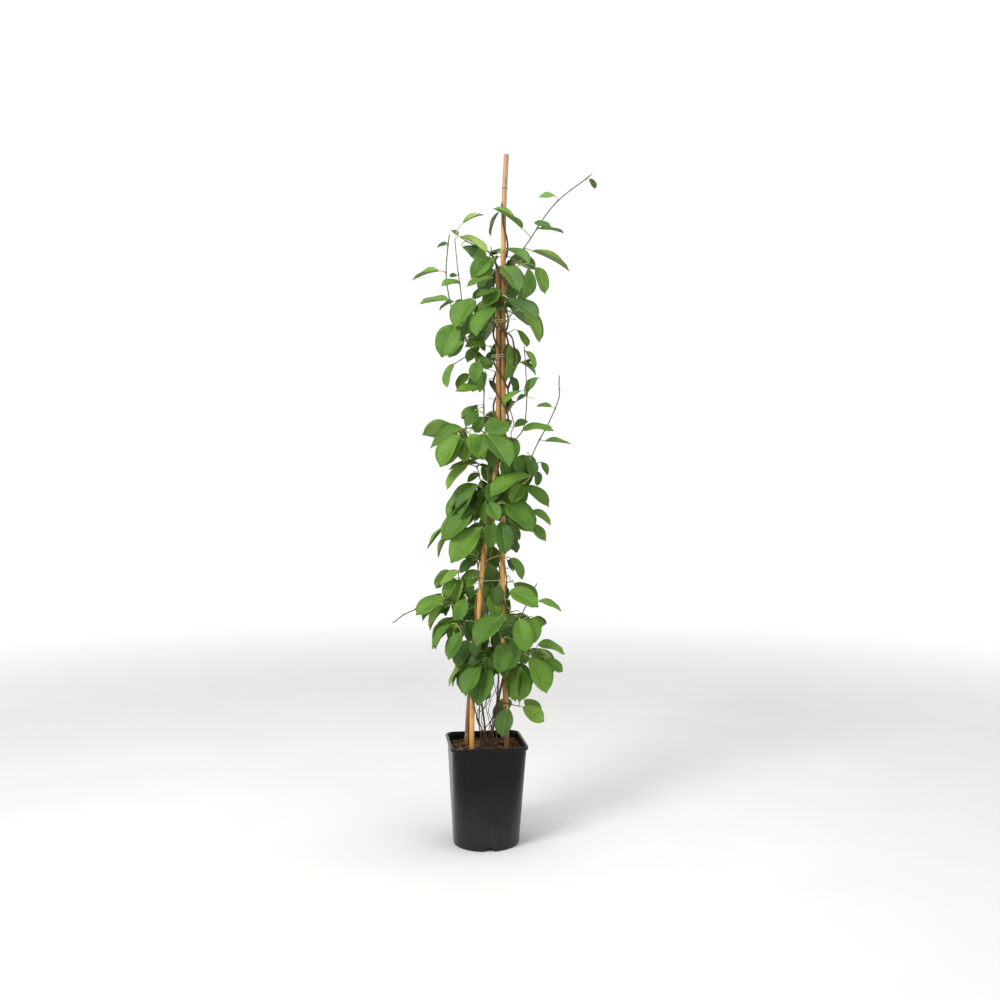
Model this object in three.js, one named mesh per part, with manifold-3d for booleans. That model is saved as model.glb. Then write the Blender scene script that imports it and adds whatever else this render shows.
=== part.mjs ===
// A hardy kiwi vine on a tripod of three bamboo canes, in a square plastic nursery pot.
// Millimetres, +Z up, the front toward -Y, the origin under the middle of the pot's flat foot.
import * as THREE from 'three';
import { mergeVertices } from 'three/addons/utils/BufferGeometryUtils.js';
import Module from 'manifold-3d';

const wasm = await Module();
wasm.setup();

// Driving dimensions
const gap = 0.3;
const potHeight = 181;
const potHalfTop = 65;
const potCornerRadius = 16;
const potFootRadius = 58.5;
const potWall = 1.6;
const potFloor = 3;
const cornersPerQuarter = 6;
const potTurn = THREE.MathUtils.degToRad(7.5);
const lipOut = 3;
const lipHeight = 7;
const notchCount = 4;
const notchWidth = 16;
const notchHeight = 9;
const notchDepth = 14;
const notchTurn = THREE.MathUtils.degToRad(-85);
const soilTop = 167;
const soilClearance = 0.5;
const caneHoleSides = 8;
const stemHoleSides = 6;
const holeAbove = 12;
const holeStep = 80;
const tallCaneRadius = 4.5;
const shortCaneRadius = 4.2;
const caneSides = 8;
const jointSwelling = 0.5;
const jointReach = 4;
const stemRadius = 1.35;
const stemSides = 4;
const shootRadius = 1.0;
const shootSides = 3;
const stemStep = 19;
const petioleRadius = 0.9;
const longStalk = 22;
const smallLeaf = 57;
const smallStations = [0.18, 0.6];
const largeStations = [0.13, 0.4, 0.7];
const tieRadius = 0.8;
const tieSides = 4;
const tieStep = 6;
const tieHold = 16;
const bladeThickness = 0.8;
const bladeWidthPerLength = 0.66;
const bladeSwell = 0.68;
const bladeTaper = 0.75;
const leastBend = 0.22;
const moreBend = 0.38;
const leastFold = 12;
const moreFold = 12;
const twinePitch = 130;
const twineHeight = 660;
const canesMeet = [600, 705];
const canesEnd = [1015, 1050];
const caneReach = 7.6;
const bundleReach = 14.3;
const petioleReach = 62;
const clearOfOthers = 4.2;
const leastRoom = 3.3;
const kinRoom = 1.6;
const smallestLeaf = 23;
const sampleSpacing = 3.6;
const lineSpacing = 4;
const stalkSpacing = 3;
const rootRadius = 0.45;
const rootRoom = 9;
const rootsAbove = 25;
const stalkAllowance = 1.6;
const stretchLength = 60;
const plantMiddle = 28;
const forwardOf = -12;

const colours = {
  pot: { color: 0x2a2a2b, roughness: 0.5, metalness: 0 },
  soil: { color: 0x3a2a1c, roughness: 0.95, metalness: 0 },
  cane: { color: 0xcaa468, roughness: 0.6, metalness: 0 },
  caneDark: { color: 0x9c7b4a, roughness: 0.65, metalness: 0 },
  tie: { color: 0xb9c48a, roughness: 0.7, metalness: 0 },
  tiePale: { color: 0xd8d2bd, roughness: 0.7, metalness: 0 },
  leaf: { color: 0x587f30, roughness: 0.55, metalness: 0 },
};

// Canes, from the pot's floor to the cut top. They spread at the soil and meet in a bundle above 700 mm.
const canes = {
  cane_tall: {
    radius: tallCaneRadius,
    joints: [150, 345, 560, 770, 965, 1150],
    colour: colours.cane,
    route: [[40, 2, 9], [37, 0, 170], [32.6, -1.6, 300], [29.6, -3, 430], [29.6, -3.5, 600],
      [30.5, -3.5, 700], [30.5, -3.5, 860], [30.5, -3.5, 1040], [31.6, -3, 1120], [35.8, -2, 1209]],
  },
  cane_front: {
    radius: shortCaneRadius,
    joints: [130, 290, 470, 655, 850],
    colour: colours.cane,
    route: [[-25, -36, 9], [-24.4, -34.5, 170], [-23.4, -30, 251], [-18.6, -27.2, 340], [-11.5, -22.5, 425],
      [-4.2, -17.8, 509], [3.4, -13.4, 561], [13, -9, 625], [18.6, -6, 680], [21.3, -4.5, 760],
      [21.3, -4.5, 890], [21.3, -4.5, 1012]],
  },
  cane_back: {
    radius: shortCaneRadius,
    joints: [180, 365, 545, 740, 925],
    colour: colours.caneDark,
    route: [[-42, 28, 9], [-35, 26, 170], [-30.6, 25, 244], [-22, 21.6, 330], [-10, 17.4, 430],
      [6, 12, 570], [16, 9, 640], [23.6, 5.8, 700], [26.5, 4.8, 760], [26.5, 4.8, 870], [26.5, 4.8, 985]],
  },
};

const toVector = ([x, y, z]) => new THREE.Vector3(x, y, z);
const curveThrough = (points) => new THREE.CatmullRomCurve3(points, false, 'centripetal');
const turns = (degrees) => THREE.MathUtils.degToRad(degrees);

// A repeatable number from 0 to 1 for a leaf's number and a use.
function chance(index, use) {
  const wave = Math.sin(index * 12.9898 + use * 78.233) * 43758.5453;
  return wave - Math.floor(wave);
}

const spread = (index, use, reach) => (chance(index, use) * 2 - 1) * reach;

// Solids
function toSolid(geometry) {
  geometry.deleteAttribute('normal');
  geometry.deleteAttribute('uv');
  const merged = mergeVertices(geometry, 1e-4);
  const mesh = new wasm.Mesh({
    numProp: 3,
    vertProperties: new Float32Array(merged.attributes.position.array),
    triVerts: new Uint32Array(merged.index.array),
  });
  return new wasm.Manifold(mesh);
}

function toGeometry(solid) {
  const mesh = solid.getMesh();
  const geometry = new THREE.BufferGeometry();
  geometry.setAttribute('position', new THREE.BufferAttribute(mesh.vertProperties, 3));
  geometry.setIndex(new THREE.BufferAttribute(mesh.triVerts, 1));
  geometry.computeVertexNormals();
  return geometry;
}

// One body from many: a loose scrap left over by the joining is dropped.
function joined(solids) {
  const bodies = solids.reduce((whole, part) => whole.add(part)).decompose();
  return bodies.reduce((largest, body) => (body.volume() > largest.volume() ? body : largest));
}

function named(name, solid, finish) {
  const mesh = new THREE.Mesh(toGeometry(solid), new THREE.MeshStandardMaterial(finish));
  mesh.name = name;
  return mesh;
}

const stepsAlong = (curve, step) => Math.max(2, Math.round(curve.getLength() / step));

// The middle line of a rod: straight from step to step, with more points between them.
function straightened(curve, step, spacing) {
  const stops = curve.getSpacedPoints(stepsAlong(curve, step));
  const parts = Math.ceil(step / spacing);
  const line = [stops[0]];
  for (let stop = 1; stop < stops.length; stop += 1) {
    for (let part = 1; part <= parts; part += 1) {
      line.push(stops[stop - 1].clone().lerp(stops[stop], part / parts));
    }
  }
  return line;
}

// A round rod along a curve, with flat ends.
function rod(curve, radius, sides, step) {
  const corners = [];
  for (let corner = 0; corner < sides; corner += 1) {
    const angle = (corner / sides) * 2 * Math.PI;
    corners.push(new THREE.Vector2(Math.cos(angle) * radius, Math.sin(angle) * radius));
  }
  const geometry = new THREE.ExtrudeGeometry(new THREE.Shape(corners), {
    steps: stepsAlong(curve, step),
    bevelEnabled: false,
    extrudePath: curve,
  });
  return toSolid(geometry);
}

// Rings of points, each joined to the next, closed by a point in the middle of the first and last ring.
function loft(rings) {
  const count = rings[0].length;
  const total = (ring) => ring.reduce((sum, point) => sum.add(point), new THREE.Vector3());
  const middle = (ring) => total(ring).divideScalar(count);
  const points = [...rings.flat(), middle(rings[0]), middle(rings[rings.length - 1])];
  const firstMiddle = points.length - 2;
  const lastMiddle = points.length - 1;
  const lastRing = (rings.length - 1) * count;
  const faces = [];
  for (let corner = 0; corner < count; corner += 1) {
    const next = (corner + 1) % count;
    faces.push(firstMiddle, next, corner);
    faces.push(lastMiddle, lastRing + corner, lastRing + next);
    for (let ring = 0; ring < rings.length - 1; ring += 1) {
      const low = ring * count;
      const high = low + count;
      faces.push(low + corner, low + next, high + next);
      faces.push(low + corner, high + next, high + corner);
    }
  }
  const geometry = new THREE.BufferGeometry().setFromPoints(points);
  geometry.setIndex(faces);
  return toSolid(geometry);
}

// The pot's outline at a height: a rounded square at the rim that grows round toward the foot.
function potRing(height, outset, scale = 1, lift = () => 0) {
  const squareness = height / potHeight;
  const core = (potHalfTop - potCornerRadius) * squareness;
  const corner = THREE.MathUtils.lerp(potFootRadius, potCornerRadius, squareness) + outset;
  const ring = [];
  for (let quarter = 0; quarter < 4; quarter += 1) {
    const diagonal = turns(quarter * 90 + 45);
    const coreX = Math.sign(Math.cos(diagonal)) * core;
    const coreY = Math.sign(Math.sin(diagonal)) * core;
    for (let step = 0; step < cornersPerQuarter; step += 1) {
      const angle = turns(quarter * 90 + ((step + 0.5) * 90) / cornersPerQuarter);
      const x = (coreX + corner * Math.cos(angle)) * scale;
      const y = (coreY + corner * Math.sin(angle)) * scale;
      const turnedX = x * Math.cos(potTurn) - y * Math.sin(potTurn);
      const turnedY = x * Math.sin(potTurn) + y * Math.cos(potTurn);
      ring.push(new THREE.Vector3(turnedX, turnedY, height + lift(turnedX, turnedY)));
    }
  }
  return ring;
}

function makePot() {
  const lipUnder = potHeight - lipHeight;
  const shell = loft([
    potRing(0, -1.2),
    potRing(2, 0),
    potRing(lipUnder, 0),
    potRing(lipUnder + 0.6, lipOut),
    potRing(potHeight - 1, lipOut),
    potRing(potHeight, lipOut - 1),
    potRing(potHeight, -potWall + 0.8),
    potRing(potHeight - 1.5, -potWall),
    potRing(potFloor + 2, -potWall),
    potRing(potFloor, -potWall - 2),
  ]);
  const notches = [];
  for (let notch = 0; notch < notchCount; notch += 1) {
    const angle = notchTurn + (notch / notchCount) * 2 * Math.PI;
    const box = new THREE.BoxGeometry(notchDepth, notchWidth, notchHeight + 2);
    box.translate(potFootRadius, 0, notchHeight / 2 - 1);
    box.rotateZ(angle);
    notches.push(toSolid(box));
  }
  return notches.reduce((whole, notch) => whole.subtract(notch), shell);
}

// The height of the bark and peat's low lumps.
function soilLumps(x, y) {
  const small = 1.7 * Math.sin(x * 0.33 + 1.3) * Math.sin(y * 0.29);
  const large = 1.1 * Math.sin(x * 0.11 - y * 0.17);
  return small + large;
}

function makeSoil(holes) {
  const outset = -potWall - soilClearance;
  const surface = [1, 0.74, 0.46, 0.2].map((scale) => potRing(soilTop, outset, scale, soilLumps));
  const filling = loft([
    potRing(potFloor + gap, outset - 2),
    potRing(potFloor + 2 + gap, outset),
    ...surface,
  ]);
  return holes.reduce((whole, hole) => whole.subtract(hole), filling);
}

// The middle of a cane at a height.
function caneAt(cane, height) {
  const line = cane.line;
  const last = line.length - 1;
  if (height >= line[last].z) {
    return line[last].clone().setZ(height);
  }
  const above = Math.max(1, line.findIndex((point) => point.z >= height));
  const below = above - 1;
  const part = (height - line[below].z) / (line[above].z - line[below].z);
  return line[below].clone().lerp(line[above], part);
}

for (const cane of Object.values(canes)) {
  cane.curve = curveThrough(cane.route.map(toVector));
  cane.line = cane.curve.getSpacedPoints(300);
}

// Level rings up the cane: three at each joint, the middle one wider, and one between joints.
function makeCane(cane) {
  const { line, joints, radius } = cane;
  const bottom = line[0].z;
  const top = line[line.length - 1].z;
  const ends = [bottom, ...joints, top];
  const between = ends.slice(1).map((height, index) => (height + ends[index]) / 2);
  const levels = [
    ...[bottom, ...between, top].map((height) => [height, 0]),
    ...joints.flatMap((height) => [[height - jointReach, 0], [height, jointSwelling],
      [height + jointReach, 0]]),
  ].sort((one, other) => one[0] - other[0]);
  return loft(levels.map(([height, swelling]) => {
    const middle = caneAt(cane, height);
    const corners = [...Array(caneSides).keys()].map((corner) => (corner / caneSides) * 2 * Math.PI);
    const reach = radius + swelling;
    return corners.map((angle) => (
      new THREE.Vector3(middle.x + reach * Math.cos(angle), middle.y + reach * Math.sin(angle), height)
    ));
  }));
}

// Twining: a stem winds round its cane, up from right to left as seen from the front. Where the canes
// meet it goes on round the whole bundle.
function bundleMiddle(height) {
  const { cane_tall: tall, cane_front: front, cane_back: back } = canes;
  return caneAt(tall, height).add(caneAt(front, height)).add(caneAt(back, height)).divideScalar(3);
}

function twine(cane, phase, from, to, step = 15) {
  const points = [];
  const count = Math.ceil((to - from) / step);
  for (let index = 0; index <= count; index += 1) {
    const height = from + ((to - from) * index) / count;
    const rise = THREE.MathUtils.smoothstep(height, ...canesMeet);
    const fall = 1 - THREE.MathUtils.smoothstep(height, ...canesEnd);
    const bundled = rise * fall;
    const middle = caneAt(cane, height).lerp(bundleMiddle(height), bundled);
    const reach = THREE.MathUtils.lerp(caneReach, bundleReach, Math.sqrt(bundled));
    const angle = turns(phase - ((height - twineHeight) * 360) / twinePitch);
    points.push([middle.x + reach * Math.cos(angle), middle.y + reach * Math.sin(angle), height]);
  }
  return points;
}

// Stems, each with the side shoots that grow from it. The first route is the stem itself.
const { cane_tall: tall, cane_front: front, cane_back: back } = canes;
const stems = {
  leafy_stem_1: [
    [[12, -6, 128], [12, -6, 172], [12, -6, 186], [16, -8, 223], [20, -7, 262], [22, -4.5, 300],
      ...twine(tall, 0, 335, 1085), [30, -13, 1098], [27, -9, 1122]],
    [[25.7, -14, 692], [14, -28, 704], [5, -38, 714], [1.7, -46, 721]],
    [[25.7, -14, 952], [34, -26, 966], [40, -35, 984], [43, -41, 1003]],
    [[37, -3, 530], [54, -6, 554], [75, -5, 568], [82, -3, 590]],
    [[26, 11.8, 757], [34, 32, 772], [36, 50, 766]],
  ],
  leafy_stem_2: [
    [[-2, -10, 125], [-2, -10, 172], [-2, -10, 186], [-8, -18, 207], ...twine(front, 240, 230, 1000),
      [50, -1, 1020], [64, -4, 1043], [81.5, -4, 1067], [100.5, -3, 1098], [125, -2, 1128], [148.5, 0, 1148],
      [175, 2, 1167], [185, 3, 1176]],
    [[26, -14, 909], [37, -22, 918], [48, -28, 928], [54, -30, 940]],
    [[25.5, 11.8, 844], [14, 34, 858], [6, 50, 850]],
  ],
  leafy_stem_3: [
    [[0, 2, 122], [0, 2, 172], [0, 2, 186], [-4, -6, 226], [-9, -18, 262], ...twine(front, 60, 292, 617),
      [4, -12, 655], [3.5, -12, 691], [-3.5, -12, 751], [-5, -10, 830], [-19, -8, 860], [-35, -6, 886],
      [-58, -4, 935], [-67, -2, 974], [-70, 0, 1002], [-67, 0, 1046], [-64, 2, 1072]],
    [[-35, -6, 886], [-42, -10, 920], [-42, -12, 955], [-49, -12, 1007], [-54, -10, 1060]],
    [[-22, -8, 864], [-40, -9, 853], [-54, -9, 844]],
    [[0, -12, 722], [-17, -18, 733], [-38, -20, 730], [-49, -22, 722]],
    [[5, -11, 610], [-7, -12, 628], [-12, -10, 649], [-16, -8, 668], [-30, -7, 668]],
    [[-13.5, -19.6, 487], [-16, -21, 520], [-17, -26, 550], [-22, -32, 585]],
    [[-16, -21, 520], [-28, -10, 548], [-50, 4, 570], [-70, 8, 562]],
    [[7.6, -20, 584], [12, -32, 590], [17, -46, 597]],
  ],
  leafy_stem_4: [
    [[6, 4, 126], [6, 4, 172], [6, 4, 186], [12, 4, 212], [19, 2, 246], ...twine(tall, 180, 274, 595),
      [51, -6, 621], [68, -8, 656], [80, -8, 681], [90, -7, 704], [108, -5, 736], [122.5, -3, 768],
      [130, -2, 788], [128, 0, 809], [129, 1, 825]],
    [[68, -8, 656], [82, -8, 667], [96, -6, 672]],
    [[51, -6, 621], [58, -20, 628], [66, -30, 634]],
  ],
  leafy_stem_5: [
    [[-1, 12, 124], [-1, 12, 172], [-1, 12, 186], [-7, 16, 230], [-14, 20, 276],
      ...twine(back, 120, 312, 1006),
      [17, -13, 1024], [1.7, -10, 1042], [-14, -8, 1047], [-37.5, -4, 1060], [-61.5, 0, 1078]],
    [[39.3, 0, 703], [56, -6, 715], [65, -8, 726], [71.6, -8, 779], [70, -7, 830], [67, -6, 877]],
    [[-22, 24, 389], [-34, 44, 402], [-40, 62, 398]],
    [[26, 12, 931], [40, 30, 945], [50, 44, 938]],
    [[23, 14, 671], [18, 34, 684], [10, 52, 676]],
  ],
  leafy_stem_6: [
    [[-8, -2, 127], [-8, -2, 172], [-8, -2, 186], [-13, 0, 205], [-11, 1, 244], [-13, -2, 288],
      [-21, -3, 332], [-31.6, -4, 358], [-42, -6, 389], [-54.4, -8, 418], [-68.4, -9, 432], [-98, -8, 423],
      [-128, -6, 411], [-148, -5, 402], [-163, -5, 389]],
    [[-31.6, -4, 358], [-33, -4, 393], [-37, -3, 428], [-45.6, -3, 454], [-49, -4, 481]],
    [[-14, -3, 296], [-8, -14, 306], [-6, -26, 314], [-4, -38, 327]],
    [[-42, -6, 389], [-46, -20, 392], [-50, -32, 388]],
  ],
  leafy_stem_7: [
    [[18, -11, 126], [18, -11, 172], [18, -11, 186], [21, -15, 215], [22, -18, 254], [30, -20, 288],
      [38.6, -20, 332], [47.4, -18, 367], [60, -14, 398], [76, -9, 432], [90, -6, 459]],
    [[42, -20, 346], [39, -36, 372], [34, -52, 400]],
    [[47.4, -18, 367], [54, -34, 384], [60, -44, 398]],
    [[37.5, -20, 326], [59, -18, 333], [80, -12, 341], [98, -8, 340], [106, -6, 331]],
    [[30, -20, 288], [45, -24, 302], [59, -24, 311]],
    [[22, -17, 236], [30, -30, 243], [38, -38, 248]],
    [[22, -18, 254], [42, -20, 248], [58, -14, 243]],
  ],
  leafy_stem_8: [
    [[9, 12, 123], [9, 12, 172], [9, 12, 186], [22, 22, 240], [34, 30, 330], [38, 36, 430], [30, 40, 520],
      [22, 42, 590]],
    [[38, 36, 430], [52, 52, 446], [58, 68, 440]],
    [[30, 40, 520], [14, 58, 534], [2, 70, 526]],
    [[30, 27, 296], [14, 42, 320], [2, 52, 326]],
  ],
};

// Ties: string wound round everything that stands within its reach, pulled straight from one to the next.
const ties = {
  tie_upper: { height: 935, turns: 1.15, rise: 4, start: -60, colour: colours.tie },
  tie_middle: { height: 916, turns: 1.15, rise: 4, start: -100, colour: colours.tie },
  tie_bundle: { height: 853, turns: 2.1, rise: 7, start: -80, colour: colours.tiePale },
  tie_lower: { height: 413, turns: 1.05, rise: 63, start: -20, colour: colours.tie },
};

// The middles and radii of what stands at a height: the canes, and the stems that wind on them.
function standing(height) {
  const posts = Object.values(canes)
    .filter((cane) => cane.line[cane.line.length - 1].z > height)
    .map((cane) => ({ middle: caneAt(cane, height), radius: cane.radius + 0.1 }));
  const strands = stemRoutes.filter((item) => item.isStem).flatMap(({ points, radius }) => {
    const levels = points.filter((point) => Math.abs(point.z - height) < tieRadius + 3);
    return levels.map((middle) => ({ middle, radius }));
  });
  const isHeld = ({ middle }) => posts.some((post) => post.middle.distanceTo(middle) < tieHold);
  return [...posts, ...strands.filter(isHeld)];
}

function tieCurve({ height, turns: count, rise, start }) {
  const points = [];
  const steps = Math.round(count * 24);
  for (let step = 0; step <= steps; step += 1) {
    const angle = turns(start) + (step / steps) * count * 2 * Math.PI;
    const outward = new THREE.Vector3(Math.cos(angle), Math.sin(angle), 0);
    const level = height + (rise * step) / steps;
    const reaches = standing(level).map(({ middle, radius }) => ({
      middle,
      reach: radius + tieRadius + 2 * gap,
      out: middle.dot(outward) + radius,
    }));
    const furthest = reaches.reduce((best, item) => (item.out > best.out ? item : best));
    const point = furthest.middle.clone().addScaledVector(outward, furthest.reach).setZ(level);
    if (points.length === 0 || point.distanceTo(points[points.length - 1]) > 1.5) {
      points.push(point);
    }
  }
  return curveThrough(points);
}

// Leaves as they hang on the front of the plant: x, y and z of the blade's foot, the way it points as seen
// from the front (0 is right, 90 is up), its length, the lean of its tip toward the front, and how far its
// face is turned to the front (0 is edge on).
const crownLeaves = [
  [181, 0, 1167, -50, 20, 0, 55], [121, -5, 1136, 175, 29, 10, 40], [113, -10, 1077, 150, 31, 10, 45],
  [93, 5, 1082, 5, 48, 0, 15], [63, -10, 1077, 140, 63, 10, 8], [22, 2, 1108, -150, 44, 5, 12],
  [-40, -5, 1089, 35, 40, 5, 25], [-60, -4, 1077, -15, 14, 0, 45], [-67, 3, 1055, -170, 20, 0, 45],
  [-43, -19, 1063, -25, 57, 20, 25], [-17, -8, 1051, -115, 24, 10, 65], [30, 12, 1043, 180, 27, -10, 35],
  [7, -28, 1019, -135, 41, 30, 75], [14, 8, 996, -170, 51, 10, 25], [-82, -5, 1006, -175, 49, 0, 20],
  [-51, 8, 1000, 175, 14, 0, 70], [-45, -6, 985, -175, 36, 10, 35], [-65, 5, 957, -180, 51, 0, 20],
  [-58, 14, 955, -165, 29, 0, 20], [-39, 12, 951, 160, 17, 0, 75], [-23, -22, 954, -130, 64, 30, 50],
  [14, -40, 936, -135, 72, 40, 30], [17, -19, 971, -160, 41, 10, 30], [25, 12, 971, -135, 34, -10, 75],
  [31, -44, 1006, -50, 62, 40, 50], [35, -14, 1043, -30, 58, 15, 30], [74, -25, 1006, -90, 53, 10, 40],
  [88, -5, 1012, -65, 48, 10, 50], [53, 12, 1027, -145, 25, 0, 70], [82, 0, 1042, -20, 74, 0, 20],
  [38, -35, 954, -30, 72, 30, 30], [63, -12, 934, -50, 60, 10, 30], [56, -5, 903, -55, 38, 10, 30],
  [-52, -28, 909, -115, 64, 20, 75], [-39, 5, 883, -150, 36, 0, 40], [-4, 15, 918, -155, 43, -10, 35],
  [-21, 12, 895, -45, 29, 0, 40], [0, 0, 876, -160, 38, 10, 40], [-28, 16, 869, -35, 31, -5, 45],
  [-16, -14, 851, -25, 31, 10, 75], [-12, -28, 846, -105, 39, 20, 70], [-56, -5, 844, -120, 44, 5, 30],
  [-30, 6, 827, -140, 34, 5, 50], [-10, -10, 799, 180, 44, 10, 30], [46, 14, 874, -65, 29, -5, 55],
  [60, -5, 847, -25, 36, 0, 20], [70, 8, 847, 35, 15, 0, 45], [70, -5, 789, 60, 40, 5, 35],
  [42, -5, 823, -65, 29, 5, 40], [60, -31, 794, -155, 42, 30, 20], [72, 6, 790, -160, 21, 10, 30],
  [5, 14, 817, -55, 24, 0, 35],
];
const middleLeaves = [
  [116, 0, 769, 170, 27, 0, 25], [63, -8, 728, 10, 57, 5, 20], [104, 0, 709, 0, 46, 0, 15],
  [51, 8, 734, 35, 26, 0, 45], [-14, 5, 772, -140, 16, 0, 55], [-14, -12, 759, -135, 35, 10, 65],
  [-42, -12, 731, -160, 71, 5, 35], [-47, -35, 718, -125, 63, 20, 45], [-39, 2, 718, -120, 47, 5, 50],
  [0, -44, 720, -110, 46, 30, 75], [-4, 14, 752, -125, 35, -10, 75], [5, -38, 723, 20, 40, 20, 75],
  [3, -52, 718, -50, 82, 40, 45], [46, 14, 715, -70, 31, -10, 50], [-14, 8, 670, -175, 53, 5, 15],
  [-31, -10, 667, -145, 57, 10, 25], [-12, -5, 667, 5, 26, 0, 25], [-10, -10, 651, -155, 27, 5, 45],
  [77, -38, 648, -165, 82, 20, 20], [72, -5, 683, -135, 30, 5, 75], [78, -22, 677, -80, 32, 10, 75],
  [97, 0, 672, -60, 26, 5, 45], [90, 14, 656, -80, 27, -5, 55], [65, -8, 628, -30, 58, 10, 35],
  [62, -35, 634, -120, 41, 30, 75], [34, -45, 600, -35, 69, 30, 45], [7, -55, 602, -60, 38, 40, 75],
  [81, 2, 586, -30, 42, 0, 30], [75, 0, 563, -40, 44, 5, 40], [27, -55, 569, -80, 56, 20, 75],
  [44, 6, 559, -50, 30, 0, 40], [48, 10, 533, -60, 22, -5, 55], [-14, -22, 632, -130, 68, 20, 30],
  [-28, 10, 628, -135, 70, -5, 15], [-22, -38, 589, -140, 73, 20, 45], [-72, 4, 558, -135, 50, 0, 10],
  [-67, 12, 542, -125, 44, -5, 10], [-12, -14, 557, -125, 54, 15, 45], [-32, 6, 533, -135, 49, 0, 25],
  [0, -25, 604, -95, 43, 10, 35], [44, -8, 504, -50, 44, 5, 35], [37, 10, 499, -55, 24, 0, 40],
  [-5, 18, 536, -115, 39, -10, 55], [-12, 20, 504, -140, 43, -5, 20],
];
const skirtLeaves = [
  [-47, -5, 481, -150, 43, 5, 30], [-14, 16, 478, -145, 37, -5, 70], [-48, 10, 459, -155, 25, 0, 50],
  [-54, 0, 449, -135, 34, 0, 50], [-73, -13, 434, -160, 59, 5, 30], [43, -20, 448, -25, 58, 20, 45],
  [93, 5, 426, -15, 45, 0, 15], [-35, -30, 433, -115, 39, 20, 75], [-74, -3, 420, -130, 47, 5, 30],
  [-64, 14, 418, -125, 24, -5, 50], [-61, -5, 394, -135, 63, 5, 20], [-62, -25, 389, -135, 51, 10, 20],
  [-43, -38, 376, -120, 51, 20, 50], [-24, -10, 354, -135, 46, 10, 55], [-3, -40, 340, -155, 33, 20, 50],
  [-37, 5, 317, -130, 50, 0, 10], [-10, -35, 322, -125, 63, 20, 40], [-3, -20, 304, -105, 53, 10, 50],
  [31, -55, 412, -145, 82, 40, 30], [49, -20, 403, -140, 37, 5, 65], [58, -48, 401, -75, 59, 30, 75],
  [73, -12, 391, -5, 31, 0, 75], [29, -65, 363, -90, 53, 30, 65], [3, -42, 334, -75, 29, 10, 75],
  [48, -38, 364, -95, 52, 20, 60], [33, -28, 324, -85, 30, 5, 55], [91, -6, 350, -5, 51, 5, 25],
  [79, 10, 330, 0, 41, -5, 20], [76, -25, 331, -55, 69, 20, 45], [105, -2, 321, -25, 37, 5, 50],
  [61, -28, 314, -85, 60, 20, 50], [46, -2, 300, -90, 44, 0, 35], [38, -45, 247, -105, 51, 20, 60],
  [65, -12, 241, -30, 46, 5, 55], [-14, -6, 385, -125, 38, 5, 75], [-11, 4, 414, -140, 32, 0, 75],
  [0, -25, 372, -130, 27, 5, 75],
];

// A blade's shape: an oval, widest near its middle, folded along the rib, its tip bent down.
const bladeOval = (along) => along ** bladeSwell * (1 - along) ** bladeTaper;
const bladeWidest = bladeSwell / (bladeSwell + bladeTaper);
const bladeHalfWidth = (along) => bladeOval(along) / bladeOval(bladeWidest);

function bladePoint(leaf, along, across) {
  const bent = leaf.bend * along;
  const forward = (leaf.length * Math.sin(bent)) / leaf.bend;
  const down = (leaf.length * (1 - Math.cos(bent))) / leaf.bend;
  const half = (leaf.length * bladeWidthPerLength * bladeHalfWidth(along)) / 2;
  const up = bladeUp(leaf, along);
  return leaf.foot.clone()
    .addScaledVector(leaf.direction, forward)
    .addScaledVector(leaf.normal, -down)
    .addScaledVector(leaf.side, half * across * Math.cos(leaf.fold))
    .addScaledVector(up, half * Math.abs(across) * Math.sin(leaf.fold));
}

function bladeUp(leaf, along) {
  const bent = leaf.bend * along;
  return leaf.normal.clone().multiplyScalar(Math.cos(bent)).addScaledVector(leaf.direction, Math.sin(bent));
}

// A leaf from its list entry: its own directions, bend and fold. The far side's leaves are the near side's,
// set behind the canes with their faces away from the front.
function describe(entry, index, far) {
  const [x, y, z, heading, length, lean, face] = entry;
  const behind = far ? -1 : 1;
  const nudge = far ? 1 : 0;
  const foot = new THREE.Vector3(
    x + nudge * spread(index, 11, 9),
    behind * y + nudge * (5 + spread(index, 12, 6)),
    z + nudge * spread(index, 13, 13),
  );
  return {
    foot,
    length: length * (1 - nudge * 0.12 * chance(index, 14)),
    heading: heading + nudge * spread(index, 15, 26),
    lean: behind * lean,
    face,
    behind,
    bend: leastBend + moreBend * chance(index, 1),
    fold: turns(leastFold + moreFold * chance(index, 2)),
  };
}

function aim(leaf, swing, nod) {
  const heading = turns(leaf.heading + swing);
  const lean = turns(leaf.lean + nod * leaf.behind);
  const toViewer = new THREE.Vector3(0, -leaf.behind, 0);
  leaf.direction = new THREE.Vector3(
    Math.cos(lean) * Math.cos(heading),
    -Math.sin(lean),
    Math.cos(lean) * Math.sin(heading),
  );
  const broad = toViewer.clone().addScaledVector(leaf.direction, -toViewer.dot(leaf.direction)).normalize();
  const edge = leaf.direction.clone().cross(broad);
  const awayFromMiddle = Math.sign(edge.x * (leaf.foot.x - plantMiddle) || 1);
  const outward = Math.abs(edge.z) > 0.15 ? Math.sign(edge.z) : awayFromMiddle;
  const face = turns(leaf.face);
  leaf.normal = broad.multiplyScalar(Math.sin(face)).addScaledVector(edge, outward * Math.cos(face));
  leaf.side = leaf.direction.clone().cross(leaf.normal);
}

// Every place that a leaf keeps clear of: its middle line or surface as points, each with its own radius.
const occupied = [];

function occupy(owner, points, radius) {
  const ball = new THREE.Sphere().setFromPoints(points);
  occupied.push({ owner, points, radius, ball });
}

function occupyAlong(owner, curve, radius, spacing) {
  const pieces = Math.max(1, Math.ceil(curve.getLength() / stretchLength));
  const points = curve.getSpacedPoints(Math.ceil(curve.getLength() / spacing));
  const share = Math.ceil(points.length / pieces);
  for (let first = 0; first < points.length; first += share) {
    occupy(owner, points.slice(first, first + share), radius);
  }
}

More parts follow.
